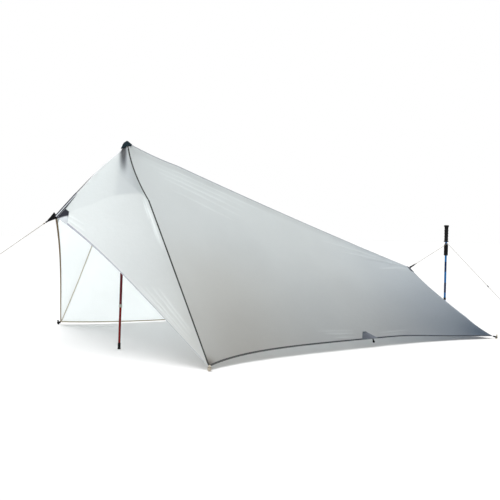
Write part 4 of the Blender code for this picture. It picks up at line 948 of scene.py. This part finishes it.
def make_tabs():
    """Wedges of folded webbing, tall at the cloth and narrow at the line lock, their edges hollowed by a half sine."""
    starts = line_starts()
    for name, length, root in (("front", FRONT_TAB_LENGTH, FRONT_TAB_HEIGHT),
                               ("rear", REAR_TAB_LENGTH, REAR_TAB_HEIGHT)):
        direction, tab = starts[name][:2]
        share = np.linspace(0, 1, 40)
        path = tab + (TAB_REACH - length + share * length)[:, None] * direction
        half = (root + (TAB_TIP_HEIGHT - root) * share) / 2 - TAB_HOLLOW * np.sin(np.pi * share)
        grid, uv = swept_band(path, unit(UP - direction * direction[2]), TAB_THICKNESS / 2, half)
        band_piece("webbing_" + name + "_tab", grid, uv, WEBBING, [name + "_tab"])


def stake_loop(ground, outward_x, arriving):
    """Once round a stake in the plane square to it: a circle from the tangent where the cord arrives, dropping
    evenly by 1.3 diameters so that it lies under itself."""
    axis, forward = leaning(outward_x * BACK)
    left = np.cross(axis, forward)
    radius = STAKE_RADIUS + CORD_DIAMETER / 2 + SEAT_GAP
    height = STAKE_ABOVE_GROUND - STAKE_HEAD - STAKE_NOTCH_WIDTH - STAKE_NOTCH_DEPTH - CORD_DIAMETER
    x, y = (arriving - ground) @ forward, (arriving - ground) @ left
    turns = np.linspace(0, STAKE_LOOP_TURN, STAKE_LOOP_POINTS)
    angles = math.atan2(y, x) + math.acos(radius / math.hypot(x, y)) - turns
    ring = np.cos(angles)[:, None] * forward + np.sin(angles)[:, None] * left
    return ground + radius * ring + (height - STAKE_LOOP_DROP * turns / STAKE_LOOP_TURN)[:, None] * axis


def hitch():
    """Helix of two turns round the rear pole, from its near side."""
    radius = UPPER_RADIUS + CORD_DIAMETER / 2 + SEAT_GAP
    turns = np.linspace(0, math.tau * HITCH_TURNS, 48 * HITCH_TURNS + 1)
    levels = HITCH_MIDDLE + HITCH_PITCH * (turns / math.tau - HITCH_TURNS / 2)
    angles = turns - math.pi / 2
    return np.stack([REAR_POLE_X + radius * np.cos(angles), CENTRE + radius * np.sin(angles), levels], axis=-1)


def thread(points, spacing):
    """The route with its straight runs cut into even steps."""
    pieces = []
    for start, end in zip(points[:-1], points[1:]):
        count = max(1, int(round(float(span(end, start)) / spacing)))
        pieces.append(mix(start, end, np.arange(count) / count))
    return np.concatenate(pieces + [points[-1:]])


def tube_mesh(name, route, radius, sides=12):
    """Circle carried along a route, with its first direction level."""
    tangent = unit(np.gradient(route, axis=0))
    across = unit(np.cross(tangent, UP))
    angles = np.linspace(0, math.tau, sides + 1)
    circle = radius * np.stack([np.cos(angles), np.sin(angles)], axis=-1)[None]
    grid, lengths = sweep(route, across, np.cross(across, tangent)[:, None], circle)
    return closed_mesh(name, grid, np.stack(np.broadcast_arrays(lengths[:, None], angles[None] / math.tau), axis=-1))


def make_knot(name, middle, line):
    """Three and a half turns of cord wound close round a straight stretch of it: a helix that swells in the middle."""
    across = unit(np.cross(line, UP))
    share = np.linspace(0, 1, 90)
    angles = share * KNOT_TURNS * math.tau
    radius = CORD_DIAMETER * (0.55 + 0.45 * np.sin(np.pi * share) ** 0.5)
    ring = np.cos(angles)[:, None] * across + np.sin(angles)[:, None] * np.cross(across, line)
    path = middle + ((share - 0.5) * KNOT_LENGTH)[:, None] * line + radius[:, None] * ring
    return place_piece(name, tube_mesh(name, path, CORD_DIAMETER / 2, 8), [CORD], "cord", "tarp")


def make_cords():
    """The two guylines: from the line locks, straight, round the rear pole, and once round their stakes."""
    wound = hitch()
    front, rear = [line_starts()[name][3] for name in ("front", "rear")]
    routes = (("front", np.concatenate([front[None], stake_loop(FRONT_STAKE, -1.0, front)]), []),
              ("rear", np.concatenate([rear[None], wound, stake_loop(REAR_STAKE, 1.0, wound[-1])]),
               [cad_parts["rear_line_runner"]]))
    for name, corners, fittings in routes:
        route = thread(corners, CORD_STEP)
        piece = place_piece("cord_" + name, tube_mesh("cord_" + name, route, CORD_DIAMETER / 2), [CORD], "cord",
                            "tarp", [name + "_guyline"])
        head, arrival = unit(route[1] - route[0]), corners[-STAKE_LOOP_POINTS]
        tail = unit(arrival - corners[-STAKE_LOOP_POINTS - 1])
        fittings += [make_knot("knot_" + name + "_lock", route[0] + KNOT_FROM_LOCK * head, head),
                     make_knot("knot_" + name + "_stake", arrival - KNOT_FROM_STAKE * tail, tail)]


def soften(profile, reach=0.0005):
    """Each corner of a profile becomes three points on the curve between its two sides, no further than the reach."""
    profile = np.asarray(profile, dtype=float)
    before, after = np.roll(profile, 1, axis=0), np.roll(profile, -1, axis=0)
    shares = [np.minimum(reach / np.maximum(span(profile, other), 1e-9), 0.4)[:, None] for other in (before, after)]
    first, last = [profile + (other - profile) * share for other, share in zip((before, after), shares)]
    rounded = np.stack([first, (first + 2 * profile + last) / 4, last], axis=1).reshape(-1, 2)
    if profile[0, 0] == 0:
        rounded = np.concatenate([profile[:1], rounded[3:-3], profile[-1:]])
    return rounded


def turned_piece(name, profile, origin, axis, finish, slot, body, node):
    """Profile of radius and height once round an axis: each point is the origin, plus the height along the axis, plus
    the radius along a direction that turns round it. A profile that starts off the axis closes on itself."""
    profile = soften(profile)
    if profile[0, 0] > 0:
        profile = np.concatenate([profile, profile[:1]])
    axis = unit(axis)
    side = unit(np.cross(axis, [0.0, 1.0, 0.0]))
    turns = np.linspace(0, math.tau, 49)
    ring = np.cos(turns)[:, None] * side + np.sin(turns)[:, None] * np.cross(axis, side)
    grid = np.asarray(origin) + profile[:, None, 1:] * axis + profile[:, None, :1] * ring[None]
    uv = np.stack(np.broadcast_arrays(turns[None] * profile[:, :1].max(), profile[:, 1:]), axis=-1)
    return place_piece(name, closed_mesh(name, grid, uv, 35), [finish], slot, body, [node])


def tube_profile(outer, bottom, top):
    """Rectangle a wall thick, between two heights."""
    return [(outer, bottom), (outer, top), (outer - TUBE_WALL, top), (outer - TUBE_WALL, bottom)]


def collar_profile(bottom, carrier, slider):
    """Sleeve on a tube's mouth, waisted, with a lip that closes in on the tube that slides in it."""
    outer, top = carrier + COLLAR_WALL, bottom + COLLAR_LENGTH
    shoulder = bottom + COLLAR_LIP - GAP
    waist = outer - COLLAR_WAIST
    return [(waist, bottom), (outer, bottom + 0.002), (outer, bottom + 0.005), (waist, bottom + 0.007),
            (waist, top - 0.004), (outer, top - 0.003), (outer - 0.0004, top), (carrier + GAP, top),
            (carrier + GAP, shoulder), (slider + GAP, shoulder), (slider + GAP, bottom)]


def expander_profile(tube_top, slider, carrier):
    """Plug on a sliding tube's hidden end: a stem in its bore, two cones and a head in the bore outside."""
    stem, head = slider - TUBE_WALL - GAP, carrier - TUBE_WALL - GAP
    base, step = tube_top + GAP, EXPANDER_HEAD
    return [(0, tube_top - EXPANDER_STEM), (stem, tube_top - EXPANDER_STEM), (stem, base), (head, base),
            (head, base + 0.30 * step), (stem * 0.6, base + 0.38 * step), (stem * 0.6, base + 0.46 * step),
            (head, base + 0.62 * step), (head, base + 0.9 * step), (head * 0.8, base + step), (0, base + step)]


def grip_profile(top, bore):
    """Handle: a flared cap with a flat top, a row of finger swells on a cosine, and a ring at the foot."""
    turns = np.radians(np.linspace(8, 150, 14))
    dome = np.stack([GRIP_CAP_WIDTH - GRIP_RIM + GRIP_RIM * np.sin(turns),
                     top - GRIP_RIM * 0.9 * (1 - np.cos(turns))], axis=-1)
    bottom, start = top - GRIP_LENGTH, top - 2.0 * GRIP_CAP_RADIUS
    share = np.linspace(0, 1, 16 * GRIP_SWELLS + 1)
    radius = GRIP_RADIUS - GRIP_SWELL * np.cos(math.tau * GRIP_SWELLS * share) - 0.001 * share
    swells = np.stack([radius, start + (bottom + 0.014 - start) * share], axis=-1)
    foot = [(GRIP_RADIUS + 0.0022, bottom + 0.012), (GRIP_RADIUS + 0.0026, bottom + 0.002),
            (GRIP_RADIUS + 0.0014, bottom), (bore, bottom), (bore, top - GRIP_CAP_RADIUS), (0, top - GRIP_CAP_RADIUS)]
    return np.concatenate([[(0, top)], dome, swells, foot])


def foam_profile(top, bore):
    """Sleeve with shallow grooves round it, a cosine of the height, and a worn shoulder that the cord lies on."""
    share = np.linspace(0, 1, 16 * FOAM_GROOVES + 1)
    radius = FOAM_RADIUS - FOAM_GROOVE * (0.5 + 0.5 * np.cos(math.tau * FOAM_GROOVES * share)) ** 3
    radius = radius - FOAM_SHOULDER * (1 - smooth(share * FOAM_LENGTH, -0.004, 0.010))
    sleeve = np.stack([radius, top - FOAM_LENGTH * share], axis=-1)
    return np.concatenate([sleeve, [(bore, top - FOAM_LENGTH), (bore, top)]])


def foot_profile(lower):
    """Rubber foot: a sole cut flat on the ground, a waist, ribs and a socket for the tube."""
    outer = lower + FOOT_WALL
    groove, waist = outer - FOOT_GROOVE, outer * 0.92
    return [(0, 0.0009), (outer * 1.04, 0.0009), (outer * 1.06, 0.003), (outer * 1.05, FOOT_SOLE * 0.6),
            (waist, FOOT_SOLE), (waist, 0.016), (outer, 0.018), (outer, 0.022), (groove, 0.023), (groove, 0.025),
            (outer, 0.026), (outer, 0.030), (groove, 0.031), (groove, 0.033), (outer, 0.034),
            (outer - 0.001, FOOT_LENGTH), (lower + GAP, FOOT_LENGTH), (lower + GAP, FOOT_SOLE - GAP),
            (0, FOOT_SOLE - GAP)]


def make_pole(name, foot, top, lower_out, upper_finish, lower_finish, collar_finish, tube_slot, collar_slot):
    """Three tubes, each sliding in the one above, with their collars and plugs, a rubber foot, a foam sleeve and a
    moulded grip."""
    total = float(span(top, foot))
    axis = unit(top - foot)
    upper_mouth = total - UPPER_LENGTH
    lower_top, middle_top = FOOT_SOLE + LOWER_TUBE, lower_out + COLLAR_LIP + MIDDLE_TUBE
    middle, lower = name + "_middle", name + "_lower"
    for part, profile, finish, slot, body in (
            ("foot", foot_profile(LOWER_RADIUS), RUBBER, "rubber", lower),
            ("lower_tube", tube_profile(LOWER_RADIUS, FOOT_SOLE, lower_top), lower_finish, tube_slot, lower),
            ("lower_expander", expander_profile(lower_top, LOWER_RADIUS, MIDDLE_RADIUS), PLASTIC, "plastic", lower),
            ("lower_collar", collar_profile(lower_out, MIDDLE_RADIUS, LOWER_RADIUS), collar_finish, collar_slot,
             middle),
            ("middle_tube", tube_profile(MIDDLE_RADIUS, lower_out + COLLAR_LIP, middle_top), upper_finish, tube_slot,
             middle),
            ("middle_expander", expander_profile(middle_top, MIDDLE_RADIUS, UPPER_RADIUS), PLASTIC, "plastic", middle),
            ("upper_collar", collar_profile(upper_mouth, UPPER_RADIUS, MIDDLE_RADIUS), collar_finish, collar_slot,
             "tarp"),
            ("upper_tube", tube_profile(UPPER_RADIUS, upper_mouth + COLLAR_LIP, total - GRIP_CAP_RADIUS - GAP),
             upper_finish, tube_slot, "tarp"),
            ("grip", grip_profile(total, UPPER_RADIUS + GAP), GRIP, "grip", "tarp"),
            ("foam", foam_profile(total - GRIP_LENGTH - GRIP_GAP, UPPER_RADIUS + GAP), FOAM, "foam", "tarp")):
        piece = turned_piece("turned_" + name + "_" + part, profile, foot, axis, finish, slot, body, name + "_" + part)


def make_poles():
    """The front pole, from the origin to a cap seated under the peak, and the upright rear pole."""
    cap = PEAK - np.array([POLE_SEAT_AHEAD, 0.0, POLE_SEAT_DEPTH])
    top = cap + unit(cap) * GRIP_CAP_RADIUS
    make_pole("front_pole", np.zeros(3), top, FRONT_LOWER_OUT, MAROON_TUBE, RED_TUBE, PALE_PLASTIC, "red_tube",
              "pale_collar")
    foot = np.array([REAR_POLE_X, CENTRE, 0.0])
    make_pole("rear_pole", foot, foot + REAR_POLE_LENGTH * UP, REAR_LOWER_OUT, BLUE_TUBE, BLUE_TUBE, PLASTIC,
              "blue_tube", "black_collar")


def make_line_locks():
    """Turned plastic barrels that the guylines start in."""
    bore, waist = CORD_DIAMETER / 2 + GAP, 0.86 * LOCK_RADIUS
    outline = [(0, 0), (0.7 * LOCK_RADIUS, 0), (LOCK_RADIUS, 0.2 * LOCK_LENGTH), (LOCK_RADIUS, 0.35 * LOCK_LENGTH),
               (waist, 0.4 * LOCK_LENGTH), (waist, 0.5 * LOCK_LENGTH), (LOCK_RADIUS, 0.55 * LOCK_LENGTH),
               (LOCK_RADIUS, 0.65 * LOCK_LENGTH), (0.65 * LOCK_RADIUS, LOCK_LENGTH), (bore, LOCK_LENGTH),
               (bore, LOCK_LENGTH - LOCK_BORE_DEPTH), (0, LOCK_LENGTH - LOCK_BORE_DEPTH)]
    for name, (direction, _, lock, _) in line_starts().items():
        turned_piece("turned_" + name + "_line_lock", outline, lock, direction, PLASTIC, "plastic", "tarp",
                     name + "_line_lock")


def dress_rigid_pieces():
    """Finishes of the CAD pieces that stay: the extruded stakes and the cord's runner."""
    for name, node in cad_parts.items():
        stake = STAKE_METAL if name.startswith("near") else DARK_METAL
        finish = stake if name.endswith("_stake") else PLASTIC if name.endswith("_runner") else None
        if finish is not None:
            for slot in node.material_slots:
                slot.material = finish


def white_to_the_camera(add):
    """1 for the rays that see the background straight, in a reflection or through glass, else 0."""
    seen = [add("LightPath", out=ray) for ray in ("Is Camera Ray", "Is Glossy Ray", "Is Transmission Ray")]
    return add("Math", (seen[0], add("Math", seen[1:], operation="MAXIMUM")), operation="MAXIMUM")


def make_stage():
    """Pale floor, white where nothing shades it, under a white sky."""
    corners = FLOOR_REACH * np.array([[-1.0, -1, 0], [1, -1, 0], [1, 1, 0], [-1, 1, 0]])
    mesh = put_mesh("floor", corners, np.array([[0, 1, 2, 3]]))
    material, add = new_material("pale studio floor")
    lift = add("Math", (white_to_the_camera(add), FLOOR_LIFT), operation="MULTIPLY")
    paint = add("BsdfDiffuse", {"Color": linear("#dcdcdc")})
    light = add("Emission", {"Color": (1, 1, 1, 1), "Strength": lift})
    add("OutputMaterial", (add("AddShader", (paint, light)),))
    mesh.materials.append(material)
    floor = bpy.data.objects.new("floor", mesh)
    bpy.context.collection.objects.link(floor)

    world = bpy.data.worlds.new("white studio")
    bpy.context.scene.world = world
    world.use_nodes = True
    add = fill(world.node_tree)
    strength = add("Mix", {0: white_to_the_camera(add), 2: SKY_LIGHT, 3: SKY_SEEN}, data_type="FLOAT")
    add("OutputWorld", (add("Background", {"Color": (1, 1, 1, 1), "Strength": strength}),))


def aim(item, place, forward, upward):
    """Places an item whose -Z looks forward and whose Y is as near as it goes to upward."""
    right = unit(np.cross(forward, upward))
    matrix = np.eye(4)
    matrix[:3, 0], matrix[:3, 1], matrix[:3, 2], matrix[:3, 3] = right, np.cross(right, forward), -forward, place
    item.matrix_world = Matrix(matrix.tolist())


def lamp(name, from_where, spread, strength):
    """Far soft light from a direction: the strength is what a white surface facing it shows."""
    data = bpy.data.lights.new(name, "SUN")
    data.angle = math.radians(spread)
    data.energy = strength * math.pi
    item = bpy.data.objects.new(name, data)
    bpy.context.collection.objects.link(item)
    from_where = unit(from_where)
    aim(item, 8 * from_where, -from_where, UP)


def make_lights():
    """A broad lamp above and a fainter one in front, for a soft and nearly even studio light."""
    for settings in LAMPS:
        lamp(*settings)


def make_camera():
    """Turned by its yaw from +Y, then up by its pitch and round its own line of sight by its roll."""
    yaw, pitch, roll = CAMERA_ANGLES
    forward = np.array([math.sin(yaw) * math.cos(pitch), math.cos(yaw) * math.cos(pitch), math.sin(pitch)])
    right = np.array([math.cos(yaw), -math.sin(yaw), 0.0])
    upward = np.cross(right, forward) * math.cos(roll) - right * math.sin(roll)
    data = bpy.data.cameras.new("camera")
    data.sensor_width = SENSOR_WIDTH
    data.lens = FOCAL_LENGTH * SENSOR_WIDTH / FRAME_WIDTH
    camera = bpy.data.objects.new("camera", data)
    bpy.context.collection.objects.link(camera)
    aim(camera, np.array(CAMERA_PLACE), forward, upward)
    bpy.context.scene.camera = camera


make_camera()
make_cords()
make_cloth()
make_loops()
make_tabs()
make_poles()
make_line_locks()
dress_rigid_pieces()
make_stage()
make_lights()
bpy.context.scene.view_settings.view_transform = "Standard"
